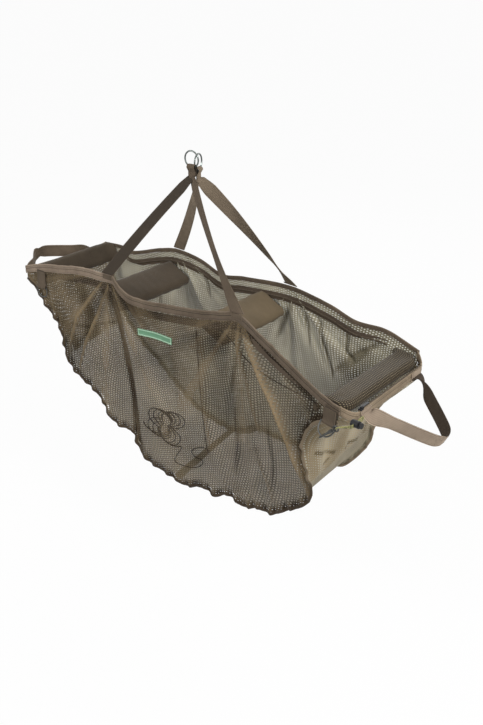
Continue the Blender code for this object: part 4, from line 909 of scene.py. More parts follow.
BACK_FOLDS = (
    (((0.205, -0.390), (0.153, -0.511)), 0.008, 0.006, 0.5, -0.35),
    (((0.252, -0.391), (0.268, -0.505)), 0.006, 0.005, 0.5, -0.35),
    (((0.291, -0.395), (0.313, -0.476), (0.346, -0.587)), 0.005, 0.006, 0.6, -0.40),
    (((0.384, -0.397), (0.372, -0.473), (0.403, -0.522)), 0.006, 0.006, 0.5, -0.35),
    (((-0.099, -0.375), (-0.089, -0.461)), 0.006, 0.005, 0.5, -0.40),
    (((-0.040, -0.375), (-0.015, -0.409)), 0.006, 0.005, 0.4, -0.30),
    (((0.360, -0.542), (0.443, -0.451)), 0.008, 0.005, 0.5, -0.35),
    (((-0.300, -0.420), (-0.330, -0.640)), 0.010, 0.008, 0.4, -0.20),
    (((0.020, -0.520), (-0.030, -0.780)), 0.010, 0.008, 0.4, -0.20),
    (((0.250, -0.400), (0.240, -0.640)), 0.050, 0.002, 0.0, 0.22),
    (((0.420, -0.420), (0.440, -0.640)), 0.060, 0.002, 0.25, -0.22),
    (((0.470, -0.425), (0.400, -0.480), (0.330, -0.560)), 0.007, 0.004, 0.6, -0.35),
)
END_FOLDS = (  # line of v, share over the end panel; half width; how double; how much light is painted on it, shade where negative
    (((-0.92, 0.95), (-0.87, 0.45), (-0.74, 0.0)), 0.10, 0.85, 0.22),
    (((0.25, 0.95), (0.04, 0.50), (-0.06, 0.20), (-0.30, 0.0)), 0.15, 0.85, 0.10),
    (((-0.74, 0.31), (-0.16, 0.13)), 0.016, 0.9, -0.45),
    (((0.10, 0.10), (0.60, 0.03)), 0.016, 0.9, -0.45),
    (((-0.60, 0.06), (-0.30, 0.10)), 0.012, 0.6, -0.35),
    (((0.55, 0.55), (0.75, 0.10)), 0.05, 0.5, -0.10),
    (((-0.50, 0.80), (-0.42, 0.20)), 0.15, 0.0, 0.55),
    (((0.52, 0.85), (0.38, 0.15)), 0.15, 0.0, 0.45),
)
FOLD_START, FOLD_RISE, FOLD_RUN_OUT = 0.35, 0.2, 0.25  # a fold's strength at first, shares to and from full
DOUBLE_HALF, LIGHT_HALF = 0.9, 0.8  # the widths of a fold's double and light parts by its own
THREAD_BEND = 1.7  # how the wall's columns lean from the rim's spacing to the seam's
RIM_HOLD, SEAM_HOLD = 0.035, 0.03  # the heights over which sewn edges hold folds flat
# The LIGHT numbers below set the painted light and shade of the fans, the soft waves and the puckers.
FAN_HEIGHT, FAN_PAINTED_LIGHT, FAN_DOUBLE = 0.0030, 0.18, 0.25
FAN_HALF, FAN_REACH, FAN_START, FAN_CREASE = 0.30, 0.45, 0.04, 0.4
FAN_WAVES = ((1, 11, 2, 1), (0.7, 21, 1, 1.3), (0.4, 37, 2, 0))
SOFT_HEIGHT, SOFT_PAINTED_LIGHT, SOFT_START = 0.0026, 0.05, 0.12
SOFT_WAVES = ((1, 31, 12, 1), (0.6, 57, -23, 2), (0.4, 101, 31, 0))
GRAIN_WAVES = ((0.02, 9, 0, 0), (0.012, 5, 14, 0))
BORDER_WIDTH, BORDER_DOUBLE = 0.011, 1.3
LABEL_EASE = 0.03
PUCKER_STEPS, PUCKER_REACH, PUCKER_PAINTED_LIGHT, PUCKER_PAINTED_LIGHT_REACH = 12, 0.045, 40, 0.03
PUCKER_WAVES = ((0.0026, 134, 0, 1), (0.0016, 211, 0, 2))
SEAM_RUN = 1.75
MOST_OUT = 0.020
BASE_ACROSS = (0, 0.2, 0.4, 0.6, 0.8, 0.88, 0.94, 0.98, 1)
BASE_SAG, BASE_SAG_STEPS, BASE_LIGHT = 0.002, 8, -0.05
END_COLUMNS, END_WAVE, END_WAVE_PAINTED_LIGHT = 56, 0.0045, 0.06
END_WAVES = ((1, 9, 2.5, 1), (0.6, 17, -4, 0))
SIDE_HOLD, FOOT_HOLD, TOP_HOLD = 0.12, 0.08, 0.10  # shares of an end panel that its sewn edges hold flat
BINDING = ((-0.15, 0.55), (0.25, 0.75), (0.50, 0.7), (0.80, 0.75), (1.0, 0.4))  # shares of depth and height
BINDING_HEIGHT = 0.0018
FRONT_BINDING, BACK_BINDING, PALE_THINNING = 0.0068, 0.0105, 0.0040
FRONT_PALE, BACK_PALE = (2, 6), (-36, 8)  # steps from the right fold and over which a binding turns pale


def line_distance(x, z, line):
    """How far points are from a line on the wall, and their share of the way along it."""
    best = np.full(x.shape, 9.0)
    share = np.zeros(x.shape)
    lengths = [math.dist(a, b) for a, b in zip(line, line[1:])]
    done = 0.0
    for (ax, az), (bx, bz), length in zip(line, line[1:], lengths):
        t = np.clip(((x - ax) * (bx - ax) + (z - az) * (bz - az)) / length**2, 0, 1)
        away = np.hypot(x - ax - t * (bx - ax), z - az - t * (bz - az))
        nearer = away < best
        best = np.where(nearer, away, best)
        share = np.where(nearer, (done + t * length) / sum(lengths), share)
        done += length
    return best, share


def seam_wave(side, step):
    """How far a seam puckers out of its wall."""
    ends = min(1.0, step / PUCKER_STEPS, (SEAM_STEPS - 1 - step) / PUCKER_STEPS)
    return ends * waves(PUCKER_WAVES, step / (SEAM_STEPS - 1) * SEAM_RUN, 0, side)


def wall_grid(side):
    """The x and z of a wall's points, in rows from the rim to the seam, and each row's share of the way."""
    share = np.repeat(np.linspace(0, 1, WALL_ROWS + 1)[:, None], SEAM_STEPS, axis=1)
    x, z = np.zeros_like(share), np.zeros_like(share)
    for step, low in enumerate(SEAM[side]):
        top_x = RIM_END * (2 * step / (SEAM_STEPS - 1) - 1)
        top = rim(side, top_x).z - band_height(side) - GAP
        x[:, step] = top_x + (low.x - top_x) * share[:, step] ** THREAD_BEND
        z[:, step] = top + (low.z - top) * share[:, step]
    return x, z, share


def strap_fan(side, end, x, z):
    """The creases that fan out below a strap, and how strong they are at each point."""
    foot = strap_point(side, end)
    reach = np.hypot(x - foot.x, z - foot.z)
    angle = np.arctan2(x - foot.x, foot.z - z)
    strength = smoothstep(0.5 + end * x / FAN_HALF) * smoothstep(reach / FAN_START)
    return waves(FAN_WAVES, angle, end, side), strength * np.exp(-reach / FAN_REACH)


def clear_of_label(x, z):
    """0 on the label and 1 well away from it, so that it lies on flat cloth."""
    away_x = np.maximum(np.maximum(LABEL[0] - x, x - LABEL[1]), 0)
    low = LABEL_TOP - LABEL_HEIGHT - LABEL_DROOP
    away_z = np.maximum(np.maximum(low - z, z - LABEL_TOP), 0)
    return smoothstep(np.hypot(away_x, away_z) / LABEL_EASE)


def wall_piece(side, name, finish):
    """A mesh wall with its folds, the fans below its straps and the puckers of its seam, with light and
    shade painted on them.
    """
    x, z, share = wall_grid(side)
    edge_y, edge_z = (
        np.interp(x, RIM_XS[side], values) for values in zip(*[p.yz for p in RIM_LINES[side]])
    )
    down, up = share * (z[0] - z[-1]), (1 - share) * (z[0] - z[-1])
    out, pleat, painted_light = np.zeros_like(x), np.zeros_like(x), np.zeros_like(x)
    # Light and shade painted on the folds, the fans, the soft waves and the puckers add up here.
    for line, half, height, double, light in FRONT_FOLDS if side < 0 else BACK_FOLDS:
        away, along = line_distance(x, z, line)
        fade = FOLD_START + (1 - FOLD_START) * smoothstep(along / FOLD_RISE)
        fade *= smoothstep((1 - along) / FOLD_RUN_OUT)
        out += height * np.exp(-((away / half) ** 2)) * fade
        pleat += double * np.exp(-((away / (half * DOUBLE_HALF)) ** 4)) * fade
        painted_light += light * np.exp(-((away / (half * LIGHT_HALF)) ** 2)) * fade
    for end in (-1, 1):
        fan, strength = strap_fan(side, end, x, z)
        out += FAN_HEIGHT * fan * strength
        painted_light += FAN_PAINTED_LIGHT * fan * strength
        pleat += FAN_DOUBLE * np.maximum(fan - FAN_CREASE, 0) * strength
    soft = waves(SOFT_WAVES, x, z, side)
    out += SOFT_HEIGHT * soft * smoothstep(down / SOFT_START)
    painted_light += SOFT_PAINTED_LIGHT * soft
    border, _ = line_distance(x, z, [(p.x, p.z) for p in SEAM[side][::FINER]])
    pleat += BORDER_DOUBLE * np.exp(-((border / BORDER_WIDTH) ** 2))
    out *= smoothstep(down / RIM_HOLD) * smoothstep(up / SEAM_HOLD)
    if side < 0:
        out *= clear_of_label(x, z)
    pucker = np.array([seam_wave(side, step) for step in range(SEAM_STEPS)])
    out += pucker * np.exp(-up / PUCKER_REACH)
    painted_light += PUCKER_PAINTED_LIGHT * pucker * np.exp(-up / PUCKER_PAINTED_LIGHT_REACH)
    y = edge_y + side * (WALL_SPREAD * (edge_z - z) + np.clip(out, -MOST_OUT, MOST_OUT))
    slant = waves(GRAIN_WAVES, x, z, 0)
    uvs = np.stack((x + slant, z + 0.5 * slant), axis=2)
    marks = {"pleat": np.clip(pleat, 0, 1), "painted_light": np.clip(painted_light, -0.6, 0.8)}
    made = surface(name, np.stack((x, y, z), axis=2).tolist(), uvs.tolist(), finish, marks)
    return made


def base_piece(finish):
    """The mesh base, sagging a little between its seams."""
    across = [-v for v in reversed(BASE_ACROSS[1:])] + list(BASE_ACROSS)
    grid = []
    for step in range(LEFT_FOLD, RIGHT_FOLD + 1):
        row = []
        for v in across:
            point = gusset_point(step, v)
            edge = edge_share(v)
            point.y += math.copysign(1, v) * seam_wave(-1 if v < 0 else 1, step) * edge
            sag = (1 - edge) * (0.5 + 0.5 * math.sin(step * 0.31 + 3 * v)) * BASE_SAG
            sag *= min(1.0, (step - LEFT_FOLD) / BASE_SAG_STEPS, (RIGHT_FOLD - step) / BASE_SAG_STEPS)
            row.append(point - Vector((0, 0, sag)))
        grid.append(row)
    middles = [row[len(row) // 2] for row in grid]
    uvs = [[(run, p.y) for p in row] for row, run in zip(grid, runs(middles))]
    count = len(grid) * len(across)
    marks = {"pleat": np.zeros(count), "painted_light": np.full(count, BASE_LIGHT)}
    made = surface("base", grid, uvs, finish, marks)
    return made


def end_piece(end, name, finish):
    """An end panel, creased where the cloth is gathered below the mouth, with light and shade painted on its
    creases.
    """
    steps = range(RIGHT_FOLD, SEAM_STEPS) if end > 0 else range(LEFT_FOLD, -1, -1)
    across = even(-1, 1, END_COLUMNS)
    rows = [[gusset_point(i, v) + end_bulge(end, i, v) for v in across] for i in steps]
    top = []
    for v in across:
        point = end_edge(end, v) - Vector((0, 0, FRONT_BAND_HEIGHT + FABRIC_GAP + GAP))
        if abs(v) == 1:
            point.y = wall(v, point.x, point.z, -OFF_FABRIC).y
        top.append(point)
    rows.append(top)
    shares = even(0, 1, len(rows) - 1)
    grid, painted_light = [], []
    for share, row in zip(shares, rows):
        line, light = [], []
        for v, point in zip(across, row):
            held = smoothstep((1 - abs(v)) / SIDE_HOLD) * smoothstep(share / FOOT_HOLD)
            held *= smoothstep((1 - share) / TOP_HOLD)
            fold = waves(END_WAVES, v, share, end)
            line.append(point + Vector((end * END_WAVE * fold * float(held), 0, 0)))
            light.append(END_WAVE_PAINTED_LIGHT * fold)
        grid.append(line)
        painted_light.append(light)
    uvs = [[(p.y, p.z + 0.3 * p.x) for p in line] for line in grid]
    across_all, share_all = np.meshgrid(across, shares)
    pleat, painted_light = np.zeros(across_all.shape), np.array(painted_light)
    # Painted light and shade along the folds.
    for line, half, double, light in END_FOLDS:
        away, _ = line_distance(across_all, share_all, line)
        pleat += double * np.exp(-((away / half) ** 4))
        painted_light += light * np.exp(-((away / half) ** 2))
    made = surface(name, grid, uvs, finish, {"pleat": pleat, "painted_light": painted_light})
    return made


def seam_piece(side, name, finish):
    """The binding of a seam: cloth folded over both edges and puckered with them, pale at the right end."""
    outline = [(reach, -thick) for reach, thick in BINDING] + list(reversed(BINDING))
    first, over = FRONT_PALE if side < 0 else BACK_PALE
    line = SEAM[side]
    rows, pale = [], []
    for step, (point, run) in enumerate(zip(line, runs(line))):
        away, shift = outward(line, step), seam_wave(side, step)
        light = float(smoothstep((step - RIGHT_FOLD - first) / over))
        deep = FRONT_BINDING if side < 0 else BACK_BINDING - PALE_THINNING * light
        lump = BINDING_HEIGHT * (1 + 0.18 * wobble(run * 2, side))
        row = []
        for reach, thick in outline:
            spot = point + away * (GAP + reach * deep)
            row.append((wall(side, spot.x, spot.z, shift + thick * lump), (run, reach * deep)))
        rows.append(row)
        pale += [light] * len(outline)
    return swept(name, rows, finish, {"inner": pale})


# The trim of the mouth

RIM_STATIONS, END_STATIONS = 300, 90
RIM_EASE = 0.02
BAND_PROFILE = (  # shares of the half thickness, of the ridge and of the height
    (0.45, 0, 0.0), (0.9, 0, 0.04), (1, 1, 0.20), (1, -1, 0.42),
    (1, 1, 0.62), (1, -1, 0.88), (0.8, 0, 0.98), (0.4, 0, 1.0),
)
BAND_RIDGE = 0.0003
TAPE_STEPS = 6
COIL_POINTS, END_COIL_STEPS = 10, 60


def along_rim(side, name, outline, finish, end_x=HALF_LENGTH, uneven=0.0, seed=1.0, taper=0.0):
    """A trim along the rim with an outline of (out, drop) pairs, uneven as sewn cloth, and tapered."""
    xs = [end_x * (2 * i / (RIM_STATIONS - 1) - 1) for i in range(RIM_STATIONS)]
    edges = [rim(side, x) for x in xs]
    top = outline[0][1]
    rows = []
    for x, edge, run in zip(xs, edges, runs(edges)):
        from_end = end_x - abs(x)
        fade = min(1.0, from_end / RIM_EASE)
        lift = uneven * wobble(x, seed) * fade
        shift = 0.7 * uneven * wobble(x * 1.4, seed + 2) * fade
        kept = float(smoothstep(from_end / taper)) * 0.9 + 0.1 if taper else 1.0
        row = []
        for out, drop in outline:
            low = top + (drop - top) * kept
            row.append((wall(side, x, edge.z - low + lift, out + shift), (run, drop)))
        rows.append(row)
    return swept(name, rows, finish)


def along_end(end, name, outline, finish):
    """A trim along the end of the mouth, with an outline of (out, drop) pairs."""
    edges = [end_edge(end, 2 * i / (END_STATIONS - 1) - 1) for i in range(END_STATIONS)]
    rows = []
    for edge, run in zip(edges, runs(edges)):
        rows.append([(edge + Vector((end * out, 0, -drop)), (run, drop)) for out, drop in outline])
    return swept(name, rows, finish)


def band_outline(height, half):
    """A folded band: a soft fold on top, a row of stitches along its middle and its foot."""
    outer = [(half * out + BAND_RIDGE * ridge, height * drop) for out, ridge, drop in BAND_PROFILE]
    return [*outer, *[(-out, drop) for out, drop in reversed(outer)]]


def flat_outline(inner, outer, top, height):
    """A thin tape between two distances from the wall."""
    drops = even(top, top + height, TAPE_STEPS)
    return [(outer, drop) for drop in drops] + [(inner, drop) for drop in reversed(drops)]


def circle(count):
    """The cosines and sines of equal steps round a circle."""
    return [(math.cos(2 * math.pi * i / count), math.sin(2 * math.pi * i / count)) for i in range(count)]


def coil_outline(inner, outer, middle):
    half, thick = COIL_WIDTH / 2, (outer - inner) / 2
    return [((inner + outer) / 2 + thick * c, middle + half * s) for c, s in circle(COIL_POINTS)]


def end_coil_piece(finish):
    """The zip's coil over the straight stretch of the right end."""
    front, back = end_edge(1, -STRAIGHT_END), end_edge(1, STRAIGHT_END)
    half, rise = COIL_WIDTH / 2, COIL_THICK / 2
    rows = []
    for share in even(0, 1, END_COIL_STEPS):
        spot = front.lerp(back, share)
        ring = [(half * c, GAP + rise + rise * s) for c, s in circle(COIL_POINTS)]
        rows.append([(spot + Vector((across, 0, up)), (spot.y, across)) for across, up in ring])
    return swept("end_zip_coil", rows, finish)


# Floats

FLOAT_CORNER = 0.44  # a float's corner radius by its thickness
CORNER_STEPS = SIDE_STEPS = 5
FLOAT_ROWS = (  # shares of its length, close where the end seams draw it in
    0, 0.004, 0.012, 0.025, 0.045, 0.07, 0.1, *even(0.14, 0.86, 30),
    0.9, 0.93, 0.955, 0.975, 0.988, 0.996, 1,
)
END_FULL, SEAM_FULL, INNER_FULL = 0.80, 0.14, 0.06  # a float's size at its ends, its gains further in
SEAM_REACH, INNER_REACH = 0.012, 0.2
FLOAT_CROWN, SIDE_CALM, SIDE_HALF = 0.0015, 0.3, 0.3
FLOAT_WAIST, WAIST_FROM = 0.03, 0.4


def rounded_section(width, height, corner_radius):
    """A rounded rectangle about the origin, as (across, up) pairs."""
    found = []
    for cx, cz, start in ((1, 1, 0), (-1, 1, 90), (-1, -1, 180), (1, -1, 270)):
        for i in range(CORNER_STEPS + 1):
            a = math.radians(start + 90 * i / CORNER_STEPS)
            across = cx * (width / 2 - corner_radius) + corner_radius * math.cos(a)
            found.append((across, cz * (height / 2 - corner_radius) + corner_radius * math.sin(a)))
        if cz * cx > 0:
            a, u = found[-1]
            found += [(a + (-2 * a) * i / SIDE_STEPS, u) for i in range(1, SIDE_STEPS)]
    return found


def float_piece(name, middle, width, thick, tilt, stop, bow, finish, seed):
    """A foam bar in a sewn sleeve, fuller in its middle, its ends drawn in by their seams."""
    level, steep = math.cos(math.radians(tilt)), math.sin(math.radians(tilt))
    section = rounded_section(width, thick, thick * FLOAT_CORNER)
    spot = [(a * level + u * steep, u * level - a * steep) for a, u in section]
    front, back = (
        side * min(abs(wall(side, middle[0] + dx, middle[1] + dz).y) for dx, dz in spot) - side * stop
        for side in (-1, 1)
    )
    around = [0.0]
    for near, far in zip(spot, [*spot[1:], spot[0]]):
        around.append(around[-1] + math.dist(near, far))
    grid, uvs = [], []
    for share in FLOAT_ROWS:
        near_end = min(share, 1 - share)
        full = END_FULL + SEAM_FULL * (min(near_end, SEAM_REACH) / SEAM_REACH) ** 0.5
        full += INNER_FULL * smoothstep(near_end / INNER_REACH)
        y = front + (back - front) * share
        away = min(1.0, (1 - abs(2 * share - 1)) / (1 - STRAIGHT_END))
        shift = bow * away * (2 - away)
        row = []
        for (dx, dz), (a, u) in zip(spot, section):
            calm = SIDE_CALM if abs(u) < thick * SIDE_HALF else 1
            puff = FLOAT_CROWN * wobble(share * 0.9 + a * 6, seed) * calm
            side_in = 1 - FLOAT_WAIST * math.cos(math.pi * (share - 0.5)) * (abs(a) > width * WAIST_FROM)
            size = full * side_in
            row.append(Vector((middle[0] + shift + dx * size, y, middle[1] + dz * size + min(puff, 0.0))))
        grid.append(row)
        uvs.append([(y, run) for run in around])
    made = surface(name, grid, uvs, finish, closed=True)
    return made


# Webbing: straps, handles and tabs, along the lines of the solid model

LEG_SHARES = (0, 0.01, 0.03, 0.05, *even(0.07, 0.96, 40), 0.975, 0.985)
NECK_SHARES = (0.12, 0.3, 0.5, 0.75, 1)
LOOP_STEPS = 24
PATCH_TRIM, PATCH_THIN, PATCH_STEPS = 0.0010, 0.35, 8
HANDLE_ROUTE = ((0, -1), (0.10, -0.97), (0.36, -0.72), (0.66, -0.47), (0.90, -0.25), (0.985, -0.10))
HANDLE_STEPS = 120
GATHER_WIDTH = 0.08
HANDLE_PATCH_INSET, HANDLE_PATCH_BEVEL = 0.001, 0.0006
TAB_PINCH_RISE, TAB_PINCH = 2.4, 0.6  # where a tab closes over the bar, in radii of its fold, and how far
TAB_FOLD_STEPS, TAB_FOLD_LEAD = 16, 4


def hinge_point(side, end):
    """Where a strap leaves its sewn end; in front it clears the rim over its whole width."""
    at = strap_point(side, end)
    beside = (-1, 0, 1) if side < 0 else (0,)
    top = max(rim(side, at.x + f * STRAP_WIDTH / 2).z for f in beside)
    return wall(side, at.x, top + STRAP_THICK / 2 + GAP, CLEAR_OF_BAND + STRAP_THICK / 2)


def hinge_line(side):
    return (hinge_point(side, 1) - hinge_point(side, -1)).normalized()


def strap_stations(side, ring_middle, ring_turn, twists):
    """One V: up from the left sewn end, through the ring's eye and down to the right one."""
    turn = math.radians(ring_turn)
    across_eye = Vector((math.cos(turn), math.sin(turn), 0))
    first_side = Vector((-math.sin(turn), math.cos(turn), 0))
    down = Vector((0, 0, -1))
    eye = Vector(ring_middle) + down * RING_RADIUS
    rise = RING_RADIUS - math.sqrt((RING_RADIUS - RING_WIRE) ** 2 - (EYE_WIDTH / 2) ** 2)
    radius = rise + RUN + STRAP_THICK / 2
    hinge = hinge_line(side)
    if across_eye.dot(hinge) < 0:
        across_eye = -across_eye

    def leg(foot, layer, twist):
        neck = eye + down * (radius * NECK_START) + down * NECK_LENGTH + layer * (STRAP_THICK / 2 + GAP)
        run = (neck - foot).normalized()
        flat = (hinge - run * hinge.dot(run)).normalized()
        turns = [Vector((a, 0, 0)) for a in twist]
        found = []
        for share in LEG_SHARES:
            angle = math.radians(-spline(turns, share).x)
            width = STRAP_WIDTH + (EYE_WIDTH - STRAP_WIDTH) * max(0, (share - 0.9) / 0.1)
            across = Matrix.Rotation(angle, 3, run) @ flat
            if share < 0.02:
                across = hinge * (math.copysign(1, across.dot(hinge)) / hinge.dot(flat))
            bow = Vector((0, side * STRAP_BOW * 4 * share * (1 - share), 0))
            found.append((foot.lerp(neck, share) + bow, across, width))
        return found + [(neck - down * (NECK_LENGTH * f), across_eye, EYE_WIDTH) for f in NECK_SHARES]

    loop = []
    for a in even(0, math.pi, LOOP_STEPS):
        point = eye + first_side * (radius * math.cos(a)) - down * (radius * math.sin(a))
        loop.append((point, across_eye, EYE_WIDTH))
    left = leg(hinge_point(side, -1), first_side, twists[0])
    right = leg(hinge_point(side, 1), -first_side, twists[1])
    return left + loop + right[::-1]


def patch_piece(side, end, name, finish):
    """The sewn end of a strap, flat on the rim band."""
    hinge = hinge_line(side)
    top = hinge_point(side, end) - Vector((0, 0, STRAP_THICK + GAP + PATCH_TRIM))
    half_thick = STRAP_THICK * PATCH_THIN
    near = OFF_BAND + half_thick
    rows = []
    for drop in even(0, PATCH_LENGTH - PATCH_TRIM, PATCH_STEPS):
        row = []
        for a, o in rounded_strip(STRAP_WIDTH / 2, half_thick):
            row.append((wall(side, top.x + a * hinge.x, top.z + a * hinge.z - drop, near + o), (drop, a)))
        rows.append(row)
    return swept(name, rows, finish)


def handle_stations(end, reach, droop):
    """A loop of webbing that stands out from the end of the mouth, on its edge."""
    out_by = OFF_BAND + HANDLE_THICK + RUN + HANDLE_THICK / 2
    foot = end_edge(end, 0) + Vector((end * out_by, 0, -FRONT_BAND_HEIGHT / 2))
    slope = math.radians(droop)
    out = Vector((end * math.cos(slope), 0, -math.sin(slope)))
    plane = Vector((0, 1, 0)).cross(out)
    route = [*HANDLE_ROUTE, (1.0, 0.0), *[(x, -y) for x, y in reversed(HANDLE_ROUTE)]]
    flat = sampled([Vector((x, y, 0)) for x, y in route], HANDLE_STEPS)
    points = [foot + out * (p.x * reach) + Vector((0, p.y * HANDLE_HALF_SPAN, 0)) for p in flat]
    points[0] -= out * HANDLE_NOSE
    points[-1] -= out * HANDLE_NOSE
    stations = []
    for i, point in enumerate(points):
        along = (points[min(i + 1, HANDLE_STEPS)] - points[max(i - 1, 0)]).normalized()
        if i in (0, HANDLE_STEPS):
            along = out * (1 if i == 0 else -1)
        from_middle = i / HANDLE_STEPS - 0.5
        turned = smoothstep((0.5 - abs(from_middle) - 0.02) / HANDLE_TWIST)
        angle = math.pi / 2 * float(turned)
        across = plane.cross(along) * math.cos(angle) + plane * math.sin(angle)
        width = HANDLE_WIDTH * (1 - HANDLE_GATHER * math.exp(-((from_middle / GATHER_WIDTH) ** 2)))
        stations.append((point, across, width))
    return stations


def handle_patch_piece(end, side, name, finish):
    """The sewn end of a handle, flat on the end band."""
    rows = []
    for at in even(-HANDLE_WIDTH / 2, HANDLE_WIDTH / 2, PATCH_STEPS):
        y = HANDLE_HALF_SPAN + at
        edge = end_edge(end, side * y / (CORNER_HALF_WIDTH + end * END_SPLAY))
        high = edge.z - HANDLE_PATCH_INSET
        low = edge.z - FRONT_BAND_HEIGHT + HANDLE_PATCH_INSET
        near = edge.x + end * OFF_BAND
        far = near + end * HANDLE_THICK
        bevel = HANDLE_PATCH_BEVEL
        face = [(far, high - bevel), (far, (high + low) / 2), (far, low + bevel)]
        outline = [(near, high), *face, (near, low)]
        rows.append([(Vector((x, side * y, z)), (z - low, at)) for x, z in outline])
    return swept(name, rows, finish)


def tab_frame(place):
    """The middle of a D-ring's bar, the direction along the bar and the one out of the bag."""
    x, drop, lift = place
    z = rim(-1, x).z - FRONT_BAND_HEIGHT - drop
    half = TAB_WIDTH / 2
    along = (wall(-1, x + half, z) - wall(-1, x - half, z)).normalized()
    out = Vector((along.y, -along.x, 0)).normalized()
    bar = wall(-1, x, z) + out * (lift + HANDLE_THICK + RUN + D_WIRE)
    return bar, Vector((along.x, along.y, 0)).normalized(), out


def tab_stations(place, top_drop):
    """A folded piece of webbing that carries a D-ring's bar in its fold."""
    bar, along, out = tab_frame(place)
    x, _, lift = place
    radius = D_WIRE + RUN + HANDLE_THICK / 2
    inner_top = wall(-1, x, rim(-1, x).z - top_drop) + out * (lift + HANDLE_THICK / 2)
    inner_top.x = bar.x
    outer_top = inner_top + out * (HANDLE_THICK + GAP * 2)
    pinch = Vector((outer_top.x, 0, bar.z + radius * TAB_PINCH_RISE))
    pinch.y = outer_top.y + (bar.y - outer_top.y) * TAB_PINCH
    points = [outer_top, outer_top.lerp(pinch, 0.35), outer_top.lerp(pinch, 0.7), pinch]
    for i in range(-TAB_FOLD_LEAD, TAB_FOLD_STEPS + 1):
        a = math.pi * i / TAB_FOLD_STEPS
        points.append(bar + out * (radius * math.cos(a)) - Vector((0, 0, radius * math.sin(a))))
    points += [points[-1].lerp(inner_top, 0.5), inner_top]
    return [(point, along, TAB_WIDTH) for point in points]


# Cords

CORD_ROUNDNESS = 3
CORD_STEPS, CAMO_STEPS, HANK_STEPS = 140, 56, 24
END_STRAIGHT, END_CLEAR = 2, 3.2  # in radii of the cord
EYE_ANGLES = range(-25, -236, -35)  # round the clip's eye
LOCK_STEPS = (-0.0135, -0.0070, 0.0, 0.0070, 0.0125)
LOOP_PULL, LOOP_SPREAD = 0.006, 1.6
BUTTON_WAY = (1, 0, 0.12)
HANK_LEAD = 0.0123
FLOOR_EASE = 0.02


def straight_ends(points, radius):
    """The same points with a short straight stretch at both ends."""
    start, stop = points[0], points[-1]
    first = start + (points[1] - start).normalized() * END_STRAIGHT * radius
    last = stop + (points[-2] - stop).normalized() * END_STRAIGHT * radius
    clear = END_CLEAR * radius
    middle = [p for p in points[1:-1] if (p - start).length > clear and (p - stop).length > clear]
    return [start, first, *middle, last, stop]


def cord_piece(name, points, radius, finish):
    """A round cord through the points."""
    curve = bpy.data.curves.new(name, "CURVE")
    curve.dimensions = "3D"
    curve.bevel_depth = radius
    curve.bevel_resolution = CORD_ROUNDNESS
    curve.use_fill_caps = True
    line = curve.splines.new("POLY")
    line.points.add(len(points) - 1)
    for spot, point in zip(line.points, points):
        spot.co = (*point, 1)
    curve.materials.append(finish)
    return show(name, curve)


def lock_axes():
    """The directions through the cord lock and from one of its strands to the other."""
    through = (Vector(LOOP_END) - Vector(LOCK_MIDDLE)).normalized()
    button = Vector(BUTTON_WAY)
    button = (button - through * button.dot(through)).normalized()
    return through, through.cross(button)


def lanyard_points():
    """A loop through the clip's eye and the cord lock; its two ends meet beyond the lock."""
    bar, _, out_bar = tab_frame(RIGHT_TAB)
    turn, lean = math.radians(RIGHT_D_SWING), math.radians(CLIP_LEAN)
    hold = bar + (out_bar * math.sin(turn) - Vector((0, 0, math.cos(turn)))) * D_DEPTH
    along, out = Vector((math.cos(lean), 0, math.sin(lean))), Vector((0, -1, 0))
    through, side = lock_axes()
    wire = hold + along * (EYE_MIDDLE + EYE_RADIUS)
    bend = EYE_WIRE + CAMO_RADIUS + RUN
    around = []
    for angle in EYE_ANGLES:
        a = math.radians(angle)
        around.append(wire + (along * math.cos(a) - out * math.sin(a)) * bend)
    apart = side * (CAMO_RADIUS + CAMO_SPACE / 2)
    strands = []
    for sign in (-1, 1):
        inside = [Vector(LOCK_MIDDLE) + through * step + apart * sign for step in LOCK_STEPS]
        inside.append(Vector(LOOP_END) - through * LOOP_PULL + apart * (sign * LOOP_SPREAD))
        inside.append(Vector(LOOP_END) + side * ((CAMO_RADIUS + GAP) * sign))
        strands.append(inside)
    near, far = sorted(strands, key=lambda strand: (around[0] - strand[0]).length)
    return straight_ends(resample(near[::-1] + around + far, CAMO_STEPS), CAMO_RADIUS)


def floor_height(x, y):
    """Where the middle of the cord lies that rests on the base at x and y."""
    line = []
    for front, back in zip(BASE_MIDDLE[-1], BASE_MIDDLE[1]):
        near, far = wall(-1, front.x, front.z), wall(1, back.x, back.z)
        line.append(near.lerp(far, (y - near.y) / (far.y - near.y)))
    for a, b in zip(line[LEFT_FOLD:RIGHT_FOLD], line[LEFT_FOLD + 1 :]):
        if a.x <= x <= b.x:
            level = (b.x - a.x) / (b - a).length
            rest = (FABRIC / 2 + CORD_RADIUS + CORD_REST) / level
            return a.z + (b.z - a.z) * (x - a.x) / (b.x - a.x) + rest
    return line[RIGHT_FOLD].z


def hank_points():
    """One unbroken cord: loops that fan out over each other on the base."""
    points = []
    half = HANK_LOOPS / 2
    for i in range(HANK_LOOPS * HANK_STEPS + 1):
        t = i / HANK_STEPS
        turn = math.radians(HANK_TURN + HANK_FAN * (half - t))
        long_way = Vector((math.cos(turn), math.sin(turn), 0))
        wide_way = Vector((-math.sin(turn), math.cos(turn), 0))
        out = abs(half - t)
        a = HANK_START - 2 * math.pi * t
        x = (HANK_HALF_LENGTH + out * HANK_STEP) * math.cos(a)
        pinch = math.exp(-((x / HANK_PINCH) ** 2))
        lobe = HANK_HALF_WIDTH + out * HANK_STEP
        waist = HANK_WAIST + out * HANK_WAIST_STEP
        y = (lobe + (waist - lobe) * pinch) * math.sin(a)
        spot = Vector((*HANK_MIDDLE, 0)) + long_way * x + wide_way * y
        points.append(Vector((spot.x, spot.y, floor_height(spot.x, spot.y) + t * HANK_RISE)))
    return points


